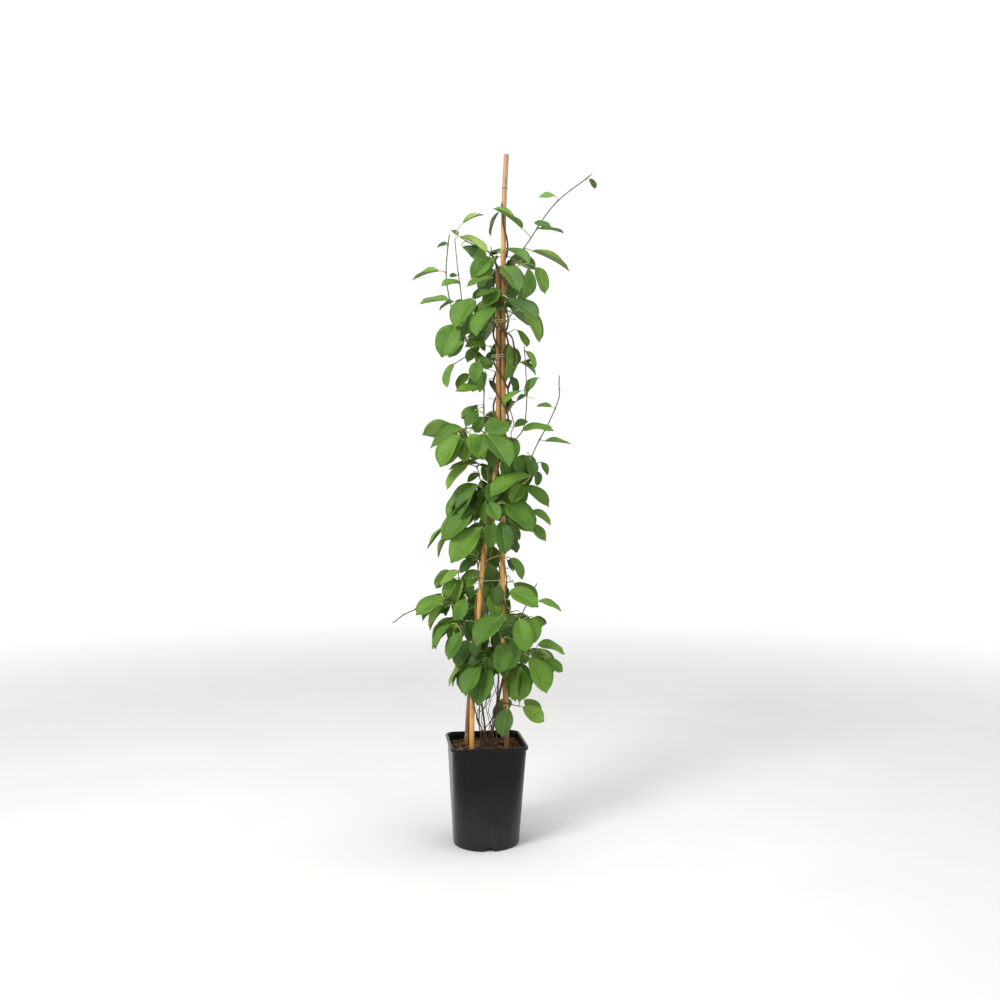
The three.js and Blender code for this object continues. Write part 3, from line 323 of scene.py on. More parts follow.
STEMS = {
    "leafy_stem_1": [
        [*rooted(12, -6, 128), (16, -8, 223), (20, -7, 262), (22, -4.5, 300),
         *twine("cane_tall", 0, 335, 1085), (30, -13, 1098), (27, -9, 1122)],
        [(25.7, -14, 692), (14, -28, 704), (5, -38, 714), (1.7, -46, 721)],
        [(25.7, -14, 952), (34, -26, 966), (40, -35, 984), (43, -41, 1003)],
        [(37, -3, 530), (54, -6, 554), (75, -5, 568), (82, -3, 590)],
        [(26, 11.8, 757), (34, 32, 772), (36, 50, 766)],
    ],
    "leafy_stem_2": [
        [*rooted(-2, -10, 125), (-8, -18, 207), *twine("cane_front", 240, 230, 1000),
         (50, -1, 1020), (64, -4, 1043), (81.5, -4, 1067), (100.5, -3, 1098), (125, -2, 1128),
         (148.5, 0, 1148), (175, 2, 1167), (185, 3, 1176)],
        [(26, -14, 909), (37, -22, 918), (48, -28, 928), (54, -30, 940)],
        [(25.5, 11.8, 844), (14, 34, 858), (6, 50, 850)],
    ],
    "leafy_stem_3": [
        [*rooted(0, 2, 122), (-4, -6, 226), (-9, -18, 262), *twine("cane_front", 60, 292, 617),
         (4, -12, 655), (3.5, -12, 691), (-3.5, -12, 751), (-5, -10, 830), (-19, -8, 860), (-35, -6, 886),
         (-58, -4, 935), (-67, -2, 974), (-70, 0, 1002), (-67, 0, 1046), (-64, 2, 1072)],
        [(-35, -6, 886), (-42, -10, 920), (-42, -12, 955), (-49, -12, 1007), (-54, -10, 1060)],
        [(-22, -8, 864), (-40, -9, 853), (-54, -9, 844)],
        [(0, -12, 722), (-17, -18, 733), (-38, -20, 730), (-49, -22, 722)],
        [(5, -11, 610), (-7, -12, 628), (-12, -10, 649), (-16, -8, 668), (-30, -7, 668)],
        [(-13.5, -19.6, 487), (-16, -21, 520), (-17, -26, 550), (-22, -32, 585)],
        [(-16, -21, 520), (-28, -10, 548), (-50, 4, 570), (-70, 8, 562)],
        [(7.6, -20, 584), (12, -32, 590), (17, -46, 597)],
    ],
    "leafy_stem_4": [
        [*rooted(6, 4, 126), (12, 4, 212), (19, 2, 246), *twine("cane_tall", 180, 274, 595),
         (51, -6, 621), (68, -8, 656), (80, -8, 681), (90, -7, 704), (108, -5, 736), (122.5, -3, 768),
         (130, -2, 788), (128, 0, 809), (129, 1, 825)],
        [(68, -8, 656), (82, -8, 667), (96, -6, 672)],
        [(51, -6, 621), (58, -20, 628), (66, -30, 634)],
    ],
    "leafy_stem_5": [
        [*rooted(-1, 12, 124), (-7, 16, 230), (-14, 20, 276),
         *twine("cane_back", 120, 312, 1006),
         (17, -13, 1024), (1.7, -10, 1042), (-14, -8, 1047), (-37.5, -4, 1060), (-61.5, 0, 1078)],
        [(39.3, 0, 703), (56, -6, 715), (65, -8, 726), (71.6, -8, 779), (70, -7, 830), (67, -6, 877)],
        [(-22, 24, 389), (-34, 44, 402), (-40, 62, 398)],
        [(26, 12, 931), (40, 30, 945), (50, 44, 938)],
        [(23, 14, 671), (18, 34, 684), (10, 52, 676)],
    ],
    "leafy_stem_6": [
        [*rooted(-8, -2, 127), (-13, 0, 205), (-11, 1, 244), (-13, -2, 288),
         (-21, -3, 332), (-31.6, -4, 358), (-42, -6, 389), (-54.4, -8, 418), (-68.4, -9, 432),
         (-98, -8, 423), (-128, -6, 411), (-148, -5, 402), (-163, -5, 389)],
        [(-31.6, -4, 358), (-33, -4, 393), (-37, -3, 428), (-45.6, -3, 454), (-49, -4, 481)],
        [(-14, -3, 296), (-8, -14, 306), (-6, -26, 314), (-4, -38, 327)],
        [(-42, -6, 389), (-46, -20, 392), (-50, -32, 388)],
    ],
    "leafy_stem_7": [
        [*rooted(18, -11, 126), (21, -15, 215), (22, -18, 254), (30, -20, 288),
         (38.6, -20, 332), (47.4, -18, 367), (60, -14, 398), (76, -9, 432), (90, -6, 459)],
        [(42, -20, 346), (39, -36, 372), (34, -52, 400)],
        [(47.4, -18, 367), (54, -34, 384), (60, -44, 398)],
        [(37.5, -20, 326), (59, -18, 333), (80, -12, 341), (98, -8, 340), (106, -6, 331)],
        [(30, -20, 288), (45, -24, 302), (59, -24, 311)],
        [(22, -17, 236), (30, -30, 243), (38, -38, 248)],
        [(22, -18, 254), (42, -20, 248), (58, -14, 243)],
    ],
    "leafy_stem_8": [
        [*rooted(9, 12, 123), (22, 22, 240), (34, 30, 330), (38, 36, 430), (30, 40, 520),
         (22, 42, 590)],
        [(38, 36, 430), (52, 52, 446), (58, 68, 440)],
        [(30, 40, 520), (14, 58, 534), (2, 70, 526)],
        [(30, 27, 296), (14, 42, 320), (2, 52, 326)],
    ],
}
FILLING_LEAVES = [
    (53, 4, 1022, -156, 22, 0, 60), (30, -8, 1042, -168, 26, 0, 30), (24, -14, 972, -137, 41, 15, 70),
    (30, -12, 963, -40, 29, 10, 55), (38, -12, 947, -153, 29, 5, 50), (42, -6, 877, -87, 64, 5, 30),
    (46, -3, 821, -73, 31, 0, 45), (49, 8, 871, -67, 28, 0, 45), (21, 4, 883, -115, 26, 0, 40),
    (-9, -10, 848, -13, 24, 5, 65), (-21, 0, 891, -38, 33, 5, 40), (-12, 6, 875, -131, 36, 0, 50),
    (-18, 8, 956, -128, 42, 0, 60), (7, 8, 956, -122, 48, -5, 60), (-28, 14, 948, -127, 46, 0, 60),
    (12, -20, 1024, -139, 53, 20, 75), (-4, -4, 915, -126, 32, 5, 60), (0, 4, 829, -114, 36, 0, 50),
    (70, 4, 867, -53, 37, 0, 30), (46, 6, 783, -135, 26, 0, 50),
    (-45, -22, 719, -126, 67, 15, 60), (-40, 0, 714, -128, 56, 5, 60), (-26, -26, 720, -61, 51, 20, 80),
    (-28, -8, 717, -108, 47, 10, 60), (-7, 6, 714, -114, 44, 5, 70), (19, -12, 750, -120, 37, 15, 60),
    (42, -16, 741, -146, 33, 5, 50), (39, 4, 716, -60, 40, 5, 50), (25, 8, 709, -109, 45, 0, 65),
    (51, -8, 682, -68, 34, 10, 70), (72, 2, 679, -61, 34, 5, 60), (33, 6, 663, -43, 38, 0, 65),
    (19, 8, 656, -112, 34, 0, 70), (46, 2, 646, -110, 43, 5, 70), (59, -14, 639, -118, 49, 15, 75),
    (-4, -4, 612, -106, 34, 5, 55), (19, 10, 626, -111, 35, 0, 70), (31, -28, 603, -37, 74, 20, 60),
    (-14, -8, 632, -138, 81, 5, 35), (-17, -14, 585, -147, 77, 10, 45), (-37, 8, 626, -128, 68, 0, 15),
    (-5, 4, 589, -83, 42, 0, 60), (-9, -20, 557, -134, 79, 10, 50), (44, 4, 531, -51, 23, 0, 50),
    (42, 4, 502, -63, 25, 0, 45), (-14, 8, 538, -111, 35, 0, 75), (4, 12, 531, -110, 43, 0, 75),
    (14, 14, 522, -97, 45, 0, 75), (0, 12, 496, -76, 46, 0, 75), (18, 12, 483, -108, 47, 0, 80),
    (-4, 10, 452, -105, 42, 0, 80), (11, 8, 443, -77, 42, 5, 75),
    (-9, -2, 477, -148, 48, 5, 50), (-25, 4, 498, -144, 32, 0, 50), (-53, -4, 467, -124, 42, 5, 45),
    (-42, 0, 465, -119, 46, 5, 50), (-14, 2, 438, -124, 42, 5, 60), (-44, 6, 445, -142, 33, 0, 50),
    (-72, -8, 417, -136, 50, 5, 25), (-33, -16, 430, -128, 42, 10, 60),
    (-28, 4, 421, -54, 32, 0, 70), (-9, 4, 407, -115, 43, 5, 75), (-42, 0, 400, -140, 43, 5, 40),
    (-66, -8, 380, -137, 45, 5, 25), (-60, 2, 396, -134, 64, 5, 20), (-31, -10, 391, -68, 40, 10, 60),
    (0, 0, 375, -108, 42, 5, 70), (-28, -6, 357, -126, 53, 10, 50), (-3, -12, 341, -141, 35, 10, 55),
    (-9, -22, 323, -127, 70, 20, 60), (3, -28, 316, -113, 69, 20, 55), (-37, 6, 320, -128, 54, 0, 10),
    (10, -6, 333, -70, 37, 10, 70), (31, -10, 332, -73, 44, 10, 70), (54, -2, 349, -59, 43, 5, 65),
    (61, -16, 312, -111, 61, 10, 45), (24, -6, 390, -42, 50, 10, 75), (42, 6, 427, -119, 38, 0, 60),
    (-11, 4, 350, -68, 39, 0, 75), (81, 6, 339, -38, 30, 0, 40),
    (12, -30, 568, -98, 47, 12, 75), (4, 16, 463, -88, 36, 0, 80), (-19, 8, 521, -108, 38, 0, 70),
    (-35, 4, 446, -145, 26, 0, 50), (-62, 6, 425, -135, 28, 0, 50), (-12, -42, 366, -112, 33, 15, 65),
    (84, -30, 400, -97, 46, 10, 70), (76, -2, 655, -120, 30, 5, 60), (24, 6, 632, -86, 40, 0, 70),
    (-8, 10, 640, -80, 36, 0, 70), (-2, 4, 628, -100, 34, 0, 70), (22, -14, 455, -95, 34, 5, 75),
    (30, -4, 679, -75, 34, 5, 70), (8, -8, 691, -80, 32, 5, 70), (33, -20, 642, -107, 42, 10, 75),
    (14, -26, 637, -100, 38, 10, 75), (30, -20, 606, -93, 36, 10, 75), (-21, 6, 455, -125, 34, 0, 60),
    (10, 18, 672, -85, 38, 0, 80), (-4, 8, 668, -70, 34, 0, 75), (80, 4, 660, -112, 34, 0, 60),
]

# Thin shoots that only the looks have: a tangle at the foot, and old wood across the canes
TANGLE = [
    [(-4, -4, 166), (-12, -6, 206), (-17, -8, 224), (-10, -10, 243), (-3, -8, 257), (1, -4, 272),
     (8, -2, 290), (14, 0, 310)],
    [(4, 6, 166), (5, 4, 196), (9, 0, 214), (16, -6, 236), (22, -10, 255), (26, -12, 272), (29, -12, 290)],
    [(14, -6, 166), (13, -8, 190), (6, -10, 215), (0, -6, 243), (2, 0, 262), (-4, 4, 280), (-6, 6, 300)],
    [(19, 2, 166), (18, 2, 200), (17, 0, 226), (19, -4, 252), (23, -8, 276), (22, -10, 305)],
    [(-10, 4, 166), (-8, 0, 192), (6, -6, 212), (17, -12, 232), (20, -14, 252), (16, -12, 276),
     (10, -8, 300)],
    [(22, -10, 166), (16, -14, 208), (5, -14, 232), (9, -10, 254), (18, -6, 272), (24, -2, 296)],
    [(-2, 10, 166), (-13, 10, 205), (-15, 8, 222), (0, 4, 240), (8, 8, 258), (4, 12, 282), (6, 14, 310)],
    [(8, -14, 166), (0, -18, 196), (-8, -18, 222), (-2, -16, 246), (4, -14, 266), (-2, -12, 290),
     (-6, -10, 312)],
]
OLD_WOOD = {
    "leafy_stem_1": [(1.3, [(7, -2, 398), (12, -2, 419), (18, -3, 432), (21, -3, 451), (24, -2, 472),
                            (23, -1, 490), (19, 0, 504), (14, 2, 525), (12, 4, 550)])],
    "leafy_stem_2": [(2.0, [(38, 4, 800), (46, -4, 823), (49, -6, 840), (51, -7, 858), (49, -9, 874),
                            (46, -12, 888), (40, -15, 895), (30, -17, 899), (19, -16, 906), (12, -13, 915),
                            (10, -10, 924), (14, -8, 936)]),
                     (1.7, [(38, 4, 945), (38, -8, 962), (37, -12, 978), (34, -15, 992), (29, -15, 1004),
                            (22, -13, 1012), (15, -12, 1022), (10, -9, 1034), (9, -6, 1048)])],
    "leafy_stem_4": [(1.0, [(46, -2, 779), (42, -4, 768), (46, -5, 752), (49, -6, 735), (44, -7, 722),
                            (47, -7, 706), (44, -8, 690)])],
    "leafy_stem_5": [(0.9, [(12, 8, 330), (10, 4, 360), (4, 2, 392), (2, 4, 424), (8, 6, 452),
                            (14, 8, 476)])],
}


# Where everything is, as points with a radius, so that leaves keep clear of each other
taken = {"points": np.empty((0, 3)), "group": np.empty(0, int), "middle": np.empty((0, 3)),
         "ball": np.empty(0), "radius": np.empty(0), "owner": np.empty(0, int)}
owners = [*STEMS, *CANES, *TIES]


def ball_round(points):
    middle = (points.min(0) + points.max(0)) / 2
    return middle, length_of(points - middle).max()


def occupy(owner, points, radius):
    """Takes up the room of some points, which are kept with a ball round them."""
    middle, ball = ball_round(points)
    added = {"points": points, "group": np.full(len(points), len(taken["ball"])), "middle": [middle],
             "ball": [ball], "radius": [radius], "owner": [owners.index(owner)]}
    for key, values in added.items():
        taken[key] = np.concatenate([taken[key], values])


def occupy_along(owner, line, radius, spacing):
    """Takes up the room along a line, a stretch at a time."""
    pieces = max(1, math.ceil(line.length / STRETCH_LENGTH))
    points = line.even(math.ceil(line.length / spacing))
    share = math.ceil(len(points) / pieces)
    for first in range(0, len(points), share):
        occupy(owner, points[first:first + share], radius)


def room_around(points, radius, root, owner):
    """The room from some points to everything else, up to a limit, leaving out the owner near the root."""
    limit = 2 * CLEAR_OF_OTHERS
    middle, ball = ball_round(points)
    reach = taken["ball"] + taken["radius"] + ball + limit + radius
    near = (length_of(taken["middle"] - middle) <= reach)[taken["group"]]
    if not near.any():
        return limit
    others = taken["points"][near]
    group = taken["group"][near]
    kin = taken["owner"][group] == owners.index(owner)
    squares = (points**2).sum(1)[:, None] + (others**2).sum(1) - 2 * points @ others.T
    room = np.sqrt(np.maximum(squares, 0)) - taken["radius"][group] - radius + KIN_ROOM * kin
    by_root = length_of(points - root) < ROOT_ROOM
    room[np.ix_(by_root, kin)] = limit
    return min(limit, room.min())


# A blade: an oval, widest near its middle, folded along the rib, its tip bent down
def blade_oval(along):
    return along**BLADE_SWELL * (1 - along) ** BLADE_TAPER


BLADE_WIDEST = BLADE_SWELL / (BLADE_SWELL + BLADE_TAPER)


def blade_half_width(along):
    return blade_oval(along) / blade_oval(BLADE_WIDEST)


def blade_up(leaf, along):
    turned = (leaf["bend"] * along)[..., None]
    return leaf["normal"] * np.cos(turned) + leaf["direction"] * np.sin(turned)


def blade_point(leaf, along, across):
    """Points of a blade, from 0 to 1 along it and from -1 to 1 across."""
    turned = leaf["bend"] * along
    forward = leaf["length"] * np.sin(turned) / leaf["bend"]
    down = leaf["length"] * (1 - np.cos(turned)) / leaf["bend"]
    half = leaf["length"] * BLADE_WIDTH_PER_LENGTH * blade_half_width(along) / 2
    sideways = half * across * math.cos(leaf["fold"])
    raised = half * np.abs(across) * math.sin(leaf["fold"])
    return (leaf["foot"] + forward[..., None] * leaf["direction"] - down[..., None] * leaf["normal"]
            + sideways[..., None] * leaf["side"] + raised[..., None] * blade_up(leaf, along))


def blade_samples(leaf):
    """Points all over a blade, close enough to find what touches it."""
    rows = math.ceil(leaf["length"] / SAMPLE_SPACING)
    along = []
    across = []
    for row in range(rows + 1):
        half = leaf["length"] * BLADE_WIDTH_PER_LENGTH * blade_half_width(row / rows) / 2
        columns = math.ceil(half / SAMPLE_SPACING)
        for column in range(-columns, columns + 1):
            along.append(row / rows)
            across.append(column / columns if columns else 0)
    return blade_point(leaf, np.array(along), np.array(across))


def describe(entry, index, far):
    """A leaf from its list entry. The far side's leaves are the near side's, set behind the canes."""
    x, y, z, heading, length, lean, face = entry
    if far:
        x += nudge(index, "x")
        y = -y + (FAR_BACK + nudge(index, "y"))
        z += nudge(index, "z")
        heading += nudge(index, "heading")
        length *= 1 - FAR_SHRINKING * chance(index, "length")
    behind = -1 if far else 1
    return {
        "foot": np.array([x, y, z], float),
        "length": length,
        "heading": heading,
        "lean": behind * lean,
        "face": face,
        "behind": behind,
        "bend": LEAST_BEND + MORE_BEND * chance(index, "bend"),
        "fold": math.radians(LEAST_FOLD + MORE_FOLD * chance(index, "fold")),
        "index": index,
    }


def aim(leaf, swing, nod):
    """Sets the three directions of a leaf: along its rib, out of its face and sideways."""
    heading = math.radians(leaf["heading"] + swing)
    lean = math.radians(leaf["lean"] + nod * leaf["behind"])
    to_viewer = np.array([0.0, -leaf["behind"], 0.0])
    direction = np.array([math.cos(lean) * math.cos(heading), -math.sin(lean),
                          math.cos(lean) * math.sin(heading)])
    broad = unit(to_viewer - direction * to_viewer.dot(direction))
    edge = np.cross(direction, broad)
    away = np.sign(edge[0] * (leaf["foot"][0] - PLANT_MIDDLE)) or 1
    outward = np.sign(edge[2]) if abs(edge[2]) > EDGE_ON else away
    face = math.radians(leaf["face"])
    leaf["direction"] = direction
    leaf["normal"] = broad * math.sin(face) + edge * outward * math.cos(face)
    leaf["side"] = np.cross(direction, leaf["normal"])


def petiole_line(leaf, root):
    """A petiole leaves the stem upward and outward, and runs into the blade's rib."""
    reach = np.linalg.norm(root - leaf["foot"])
    shoulder = leaf["foot"] - PETIOLE_SHOULDER * reach * leaf["direction"]
    shoulder[2] += PETIOLE_RISE * reach
    halfway = (root + leaf["foot"]) / 2
    return bow(root, PETIOLE_BOW * shoulder + (1 - PETIOLE_BOW) * halfway, leaf["foot"])


# Stems first, then canes and ties
routes = []
for owner, owned in STEMS.items():
    for number, route in enumerate(owned):
        points = [np.array(point, float) for point in route]
        if number:
            borne = np.vstack([item["points"] for item in routes if item["owner"] == owner])
            points[0] = borne[length_of(borne - points[0]).argmin()]
        line = through(points)
        radius = SHOOT_RADIUS if number else STEM_RADIUS
        routes.append({"owner": owner, "points": straightened(line, STEM_STEP, LINE_SPACING),
                       "radius": radius, "is_stem": number == 0})
        occupy_along(owner, line, radius, LINE_SPACING)
for owner, cane in CANES.items():
    occupy_along(owner, cane["line"], cane["radius"], LINE_SPACING)


def standing(height):
    """The middles and radii of what stands at a height: the canes, and the stems that wind on them."""
    posts = [(cane_at(name, height), cane["radius"] + TIE_CANE_SLACK) for name, cane in CANES.items()
             if cane["points"][-1, 2] > height]
    held = []
    for item in routes:
        if item["is_stem"]:
            from_height = np.abs(item["points"][:, 2] - height)
            for middle in item["points"][from_height < TIE_RADIUS + TIE_STEM_REACH]:
                if any(np.linalg.norm(post - middle) < TIE_HOLD for post, _ in posts):
                    held.append((middle, item["radius"]))
    return posts + held


def tie_points(height, turns, rise, start):
    """String wound round everything within its reach, pulled straight from one to the next."""
    points = []
    steps = math.floor(turns * TIE_STEPS_PER_TURN + 0.5)
    for step in range(steps + 1):
        angle = math.radians(start) + step / steps * turns * 2 * math.pi
        outward = np.array([math.cos(angle), math.sin(angle), 0.0])
        level = height + rise * step / steps
        middle, radius = max(standing(level), key=lambda item: item[0].dot(outward) + item[1])
        point = middle + outward * (radius + TIE_RADIUS + 2 * GAP)
        point[2] = level
        if not points or np.linalg.norm(point - points[-1]) > LEAST_TIE_STEP:
            points.append(point)
    return points


for owner, tie in TIES.items():
    tie["line"] = through(tie_points(**tie))
    occupy_along(owner, tie["line"], TIE_RADIUS, LINE_SPACING)


def roots_for(foot):
    """The nearest place above the soil on each stem, nearest first."""
    found = []
    for owner in STEMS:
        best = (PETIOLE_REACH, owner, None)
        for item in routes:
            if item["owner"] != owner:
                continue
            points = item["points"][item["points"][:, 2] > SOIL_TOP + ROOTS_ABOVE]
            if len(points) == 0:
                continue
            away = length_of(points - foot) + np.maximum(0, points[:, 2] - foot[2]) * ROOT_ABOVE_COST
            if away.min() < best[0]:
                best = (away.min(), owner, points[away.argmin()])
        if best[2] is not None:
            found.append(best)
    return sorted(found, key=lambda item: item[0])[:ROOTS_TRIED]


# What a leaf tries in turn: its size, swing, depth and nod. A filling leaf nearly keeps its heading
STANCES = [*itertools.product((1, 0.84), (0, 12, -12, 26, -26), (0, 7, -7, 14), (0, 16, -16))]
FILLING_STANCES = [*itertools.product((1, 0.85, 0.7), (0, 10, -10), (0, 5, -5, 10, -10, 16, -16),
                                      (0, 14, -14))]


def place(leaf, stances, clear):
    """Turns and shifts a leaf, on the nearest stems, until it is clear of its neighbours."""
    best = {"room": -1}
    foot = leaf["foot"]
    length = leaf["length"]
    for _, owner, root in roots_for(foot):
        for size, swing, depth, nod in stances:
            leaf["foot"] = foot + [0, depth, 0]
            leaf["length"] = length * size
            aim(leaf, swing, nod)
            room = room_around(blade_samples(leaf), 0, root, owner)
            if room <= best["room"]:
                continue
            petiole = petiole_line(leaf, root)
            stalk = petiole.even(math.ceil(petiole.length / STALK_SPACING))
            room = min(room, room_around(stalk, PETIOLE_RADIUS, root, owner) + STALK_ALLOWANCE)
            if room > best["room"]:
                best = {"room": room, "owner": owner, "root": root, "petiole": petiole, "leaf": dict(leaf)}
            if room >= clear:
                return best
    return best


leaves = []


def grow(entries, first, forward_of, stances, clear, least):
    """A list's leaves, and then the far side's partners of those that stand well in front."""
    for far, (index, entry) in itertools.product((False, True), enumerate(entries, first)):
        if far and entry[1] > forward_of:
            continue
        found = place(describe(entry, index, far), stances, clear)
        if found["room"] >= least:
            occupy(found["owner"], blade_samples(found["leaf"]), 0)
            occupy_along(found["owner"], found["petiole"], PETIOLE_RADIUS, STALK_SPACING)
            leaves.append(found)


near_leaves = CROWN_LEAVES + MIDDLE_LEAVES + SKIRT_LEAVES
grow(near_leaves, 0, FORWARD_OF, STANCES, CLEAR_OF_OTHERS, LEAST_ROOM)
grow(FILLING_LEAVES, len(near_leaves), FORWARD_OF_FILLING, FILLING_STANCES, FILLING_ROOM, FILLING_ROOM)


# Making pieces
class Heap:
    """Points, faces and tags for one piece. A point's tag is three numbers that its material reads."""

    def __init__(self):
        self.points = []
        self.tags = []
        self.faces = []
        self.count = 0

    def add(self, points, faces, tags):
        self.points.append(points)
        self.tags.append(np.broadcast_to(tags, points.shape))
        self.faces += (np.asarray(faces) + self.count).tolist()
        self.count += len(points)

    def skin(self, rings, tags):
        """Faces between rings of points, all of one length."""
        rows, columns = rings.shape[:2]
        low = np.arange((rows - 1) * columns).reshape(-1, columns)
        beside = np.roll(low, -1, axis=1)
        faces = np.stack([low, beside, beside + columns, low + columns], -1).reshape(-1, 4)
        self.add(rings.reshape(-1, 3), faces, np.broadcast_to(tags, rings.shape).reshape(-1, 3))

    def cap(self, ring, middle, tag, up):
        """A fan from a ring to its middle."""
        corner = np.arange(len(ring))
        beside = (corner + 1) % len(ring)
        pair = [corner, beside] if up else [beside, corner]
        self.add(np.vstack([ring, middle]), np.stack([*pair, np.full(len(ring), len(ring))], -1), tag)

    def solid(self, rings, tags, middles=None):
        """Skin on rings with a cap at both ends. Tags are for all, for each ring or for each point."""
        rings = np.asarray(rings, float)
        tags = np.asarray(tags, float)
        tags = np.broadcast_to(tags[:, None] if tags.ndim == 2 else tags, rings.shape)
        first, last = rings[[0, -1]].mean(1) if middles is None else middles
        self.skin(rings, tags)
        self.cap(rings[0], first, tags[0, 0], up=False)
        self.cap(rings[-1], last, tags[-1, 0], up=True)

    def tube(self, points, radii, sides, tags):
        """A round tube with closed ends along points."""
        points = np.asarray(points, float)
        forward = np.gradient(points, axis=0)
        forward /= length_of(forward)[:, None]
        aside = unit(np.cross(forward[0], [0.3, 0.9, 0.2]))
        sideways = []
        for ahead in forward:
            aside = unit(aside - ahead * aside.dot(ahead))
            sideways.append(aside)
        frames = np.stack([sideways, np.cross(forward, sideways)], 1)
        radii = np.broadcast_to(radii, len(points))
        self.solid(points[:, None] + radii[:, None, None] * (circle(sides)[:, :2] @ frames), tags)

    def piece(self, name, material, node=None, smooth=True):
        """The finished piece, in metres, riding on the root and standing for a node."""
        mesh = bpy.data.meshes.new(name)
        mesh.from_pydata(np.vstack(self.points) * 0.001, [], self.faces)
        mesh.validate()
        tag = mesh.attributes.new("tag", "FLOAT_VECTOR", "POINT")
        tag.data.foreach_set("vector", np.vstack(self.tags).ravel())
        mesh.polygons.foreach_set("use_smooth", np.full(len(mesh.polygons), smooth))
        mesh.materials.append(material)
        made = in_scene(name, mesh)
        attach(made, "root")
        if node:
            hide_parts(node)


def circle(sides):
    angle = np.arange(sides) / sides * 2 * math.pi
    return np.stack([np.cos(angle), np.sin(angle), np.zeros(sides)], -1)


def in_scene(name, data):
    made = bpy.data.objects.new(name, data)
    bpy.context.scene.collection.objects.link(made)
    return made


class Nodes:
    """A tree of shader nodes. Sockets are named by their words, or by number as _0, _1."""

    def __init__(self, tree):
        self.tree = tree

    def set(self, node, **inputs):
        for key, value in inputs.items():
            socket = node.inputs[int(key[1:])] if key[0] == "_" else node.inputs[key.replace("_", " ")]
            if isinstance(value, bpy.types.NodeSocket):
                self.tree.links.new(value, socket)
            elif socket.type == "RGBA":
                socket.default_value = (*value, 1)
            else:
                socket.default_value = value
        return node

    def add(self, kind, settings=None, **inputs):
        node = self.tree.nodes.new("ShaderNode" + kind)
        for key, value in (settings or {}).items():
            setattr(node, key, value)
        return self.set(node, **inputs)

    def math(self, operation, *values):
        inputs = {f"_{number}": value for number, value in enumerate(values)}
        return self.add("Math", {"operation": operation}, **inputs).outputs[0]

    def plus(self, one, other):
        return self.math("ADD", one, other)

    def times(self, one, other):
        return self.math("MULTIPLY", one, other)

    def between(self, value, low, high, start=0.0, end=1.0):
        """A value taken smoothly from low..high to start..end."""
        settings = {"interpolation_type": "SMOOTHSTEP"}
        return self.add("MapRange", settings, _0=value, _1=low, _2=high, _3=start, _4=end).outputs[0]

    def place(self):
        return self.add("TexCoord").outputs["Object"]

    def height(self):
        return self.add("SeparateXYZ", _0=self.place()).outputs[2]


class Material(Nodes):
    """A principled material. Its noise and colours read the place on the object and the point's tag."""

    def __init__(self, name):
        self.material = bpy.data.materials.new(name)
        self.material.use_nodes = True
        super().__init__(self.material.node_tree)
        self.shader = self.tree.nodes["Principled BSDF"]

    def tag(self):
        """The three tag numbers of a point."""
        attribute = self.add("Attribute", {"attribute_name": "tag"})
        return self.add("SeparateXYZ", _0=attribute.outputs["Vector"]).outputs[:3]

    def noise(self, scale, detail=3, stretch=1.0):
        """Noise, drawn out along the height where stretch is under 1."""
        place = self.add("Mapping", Vector=self.place(), Scale=(1.0, 1.0, stretch)).outputs[0]
        return self.add("TexNoise", Vector=place, Scale=scale, Detail=detail, Roughness=0.55).outputs[0]

    def cells(self, feature):
        return self.add("TexVoronoi", {"feature": feature}, Scale=420.0).outputs["Distance"]

    def ramp(self, value, *stops):
        """Colours along a value."""
        node = self.add("ValToRGB", _0=value)
        elements = node.color_ramp.elements
        while len(elements) < len(stops):
            elements.new(0.5)
        for element, (place, colour) in zip(elements, stops):
            element.position = place
            element.color = (*colour, 1)
        return node.outputs[0]

    def mix(self, share, one, other):
        return self.add("Mix", {"data_type": "RGBA"}, _0=share, _6=one, _7=other).outputs[2]

    def coat(self, colour, roughness, specular=0.5):
        self.set(self.shader, Base_Color=colour, Roughness=roughness, Specular_IOR_Level=specular)

    def bump(self, height, distance, strength):
        node = self.add("Bump", Height=height, Distance=distance, Strength=strength)
        self.set(self.shader, Normal=node.outputs[0])

    def share_with(self, share, other):
        """Gives a share of the surface to another shader."""
        blend = self.add("MixShader", _0=share, _1=self.shader.outputs[0], _2=other.outputs[0])
        self.set(self.tree.nodes["Material Output"], _0=blend.outputs[0])


# Leaf greens from dark to light, picked by a tone that holds painted shade
LEAF_GREENS = ((0.0, (0.03, 0.08, 0.008)), (0.3, (0.06, 0.156, 0.0105)), (0.6, (0.106, 0.25, 0.0155)),
               (0.85, (0.178, 0.35, 0.028)), (1.0, (0.3, 0.47, 0.075)))
NET_GREEN = (0.18, 0.34, 0.04)
RIB_GREEN = (0.29, 0.46, 0.09)
VEIN_GREEN = (0.27, 0.45, 0.08)
UNDER_GREEN = (0.125, 0.21, 0.065)
GLOW_GREEN = (0.3, 0.55, 0.03)
GLOW = 0.24
BARK = ((0.0, (0.085, 0.12, 0.034)), (0.2, (0.12, 0.12, 0.045)), (0.42, (0.23, 0.135, 0.055)),
        (0.7, (0.085, 0.047, 0.023)), (1.0, (0.085, 0.052, 0.03)))
LENTICEL = (0.25, 0.17, 0.095)
STALKS = ((0.0, (0.28, 0.4, 0.1)), (0.55, (0.43, 0.53, 0.19)), (1.0, (0.4, 0.28, 0.12)))
TAN_BAMBOO = (0.38, 0.165, 0.04), (0.63, 0.33, 0.08), (0.76, 0.47, 0.15)
BROWN_BAMBOO = (0.12, 0.06, 0.024), (0.235, 0.12, 0.042), (0.33, 0.185, 0.07)
# Painted shade on the canes where they lie together among the leaves
BUNDLE_PAINTED_SHADE = (0.23, 0.12, 0.042)
WEATHERED_TAN = (0.37, 0.235, 0.132)
STAIN = (0.17, 0.085, 0.04)
BLOTCH = (0.15, 0.075, 0.03)
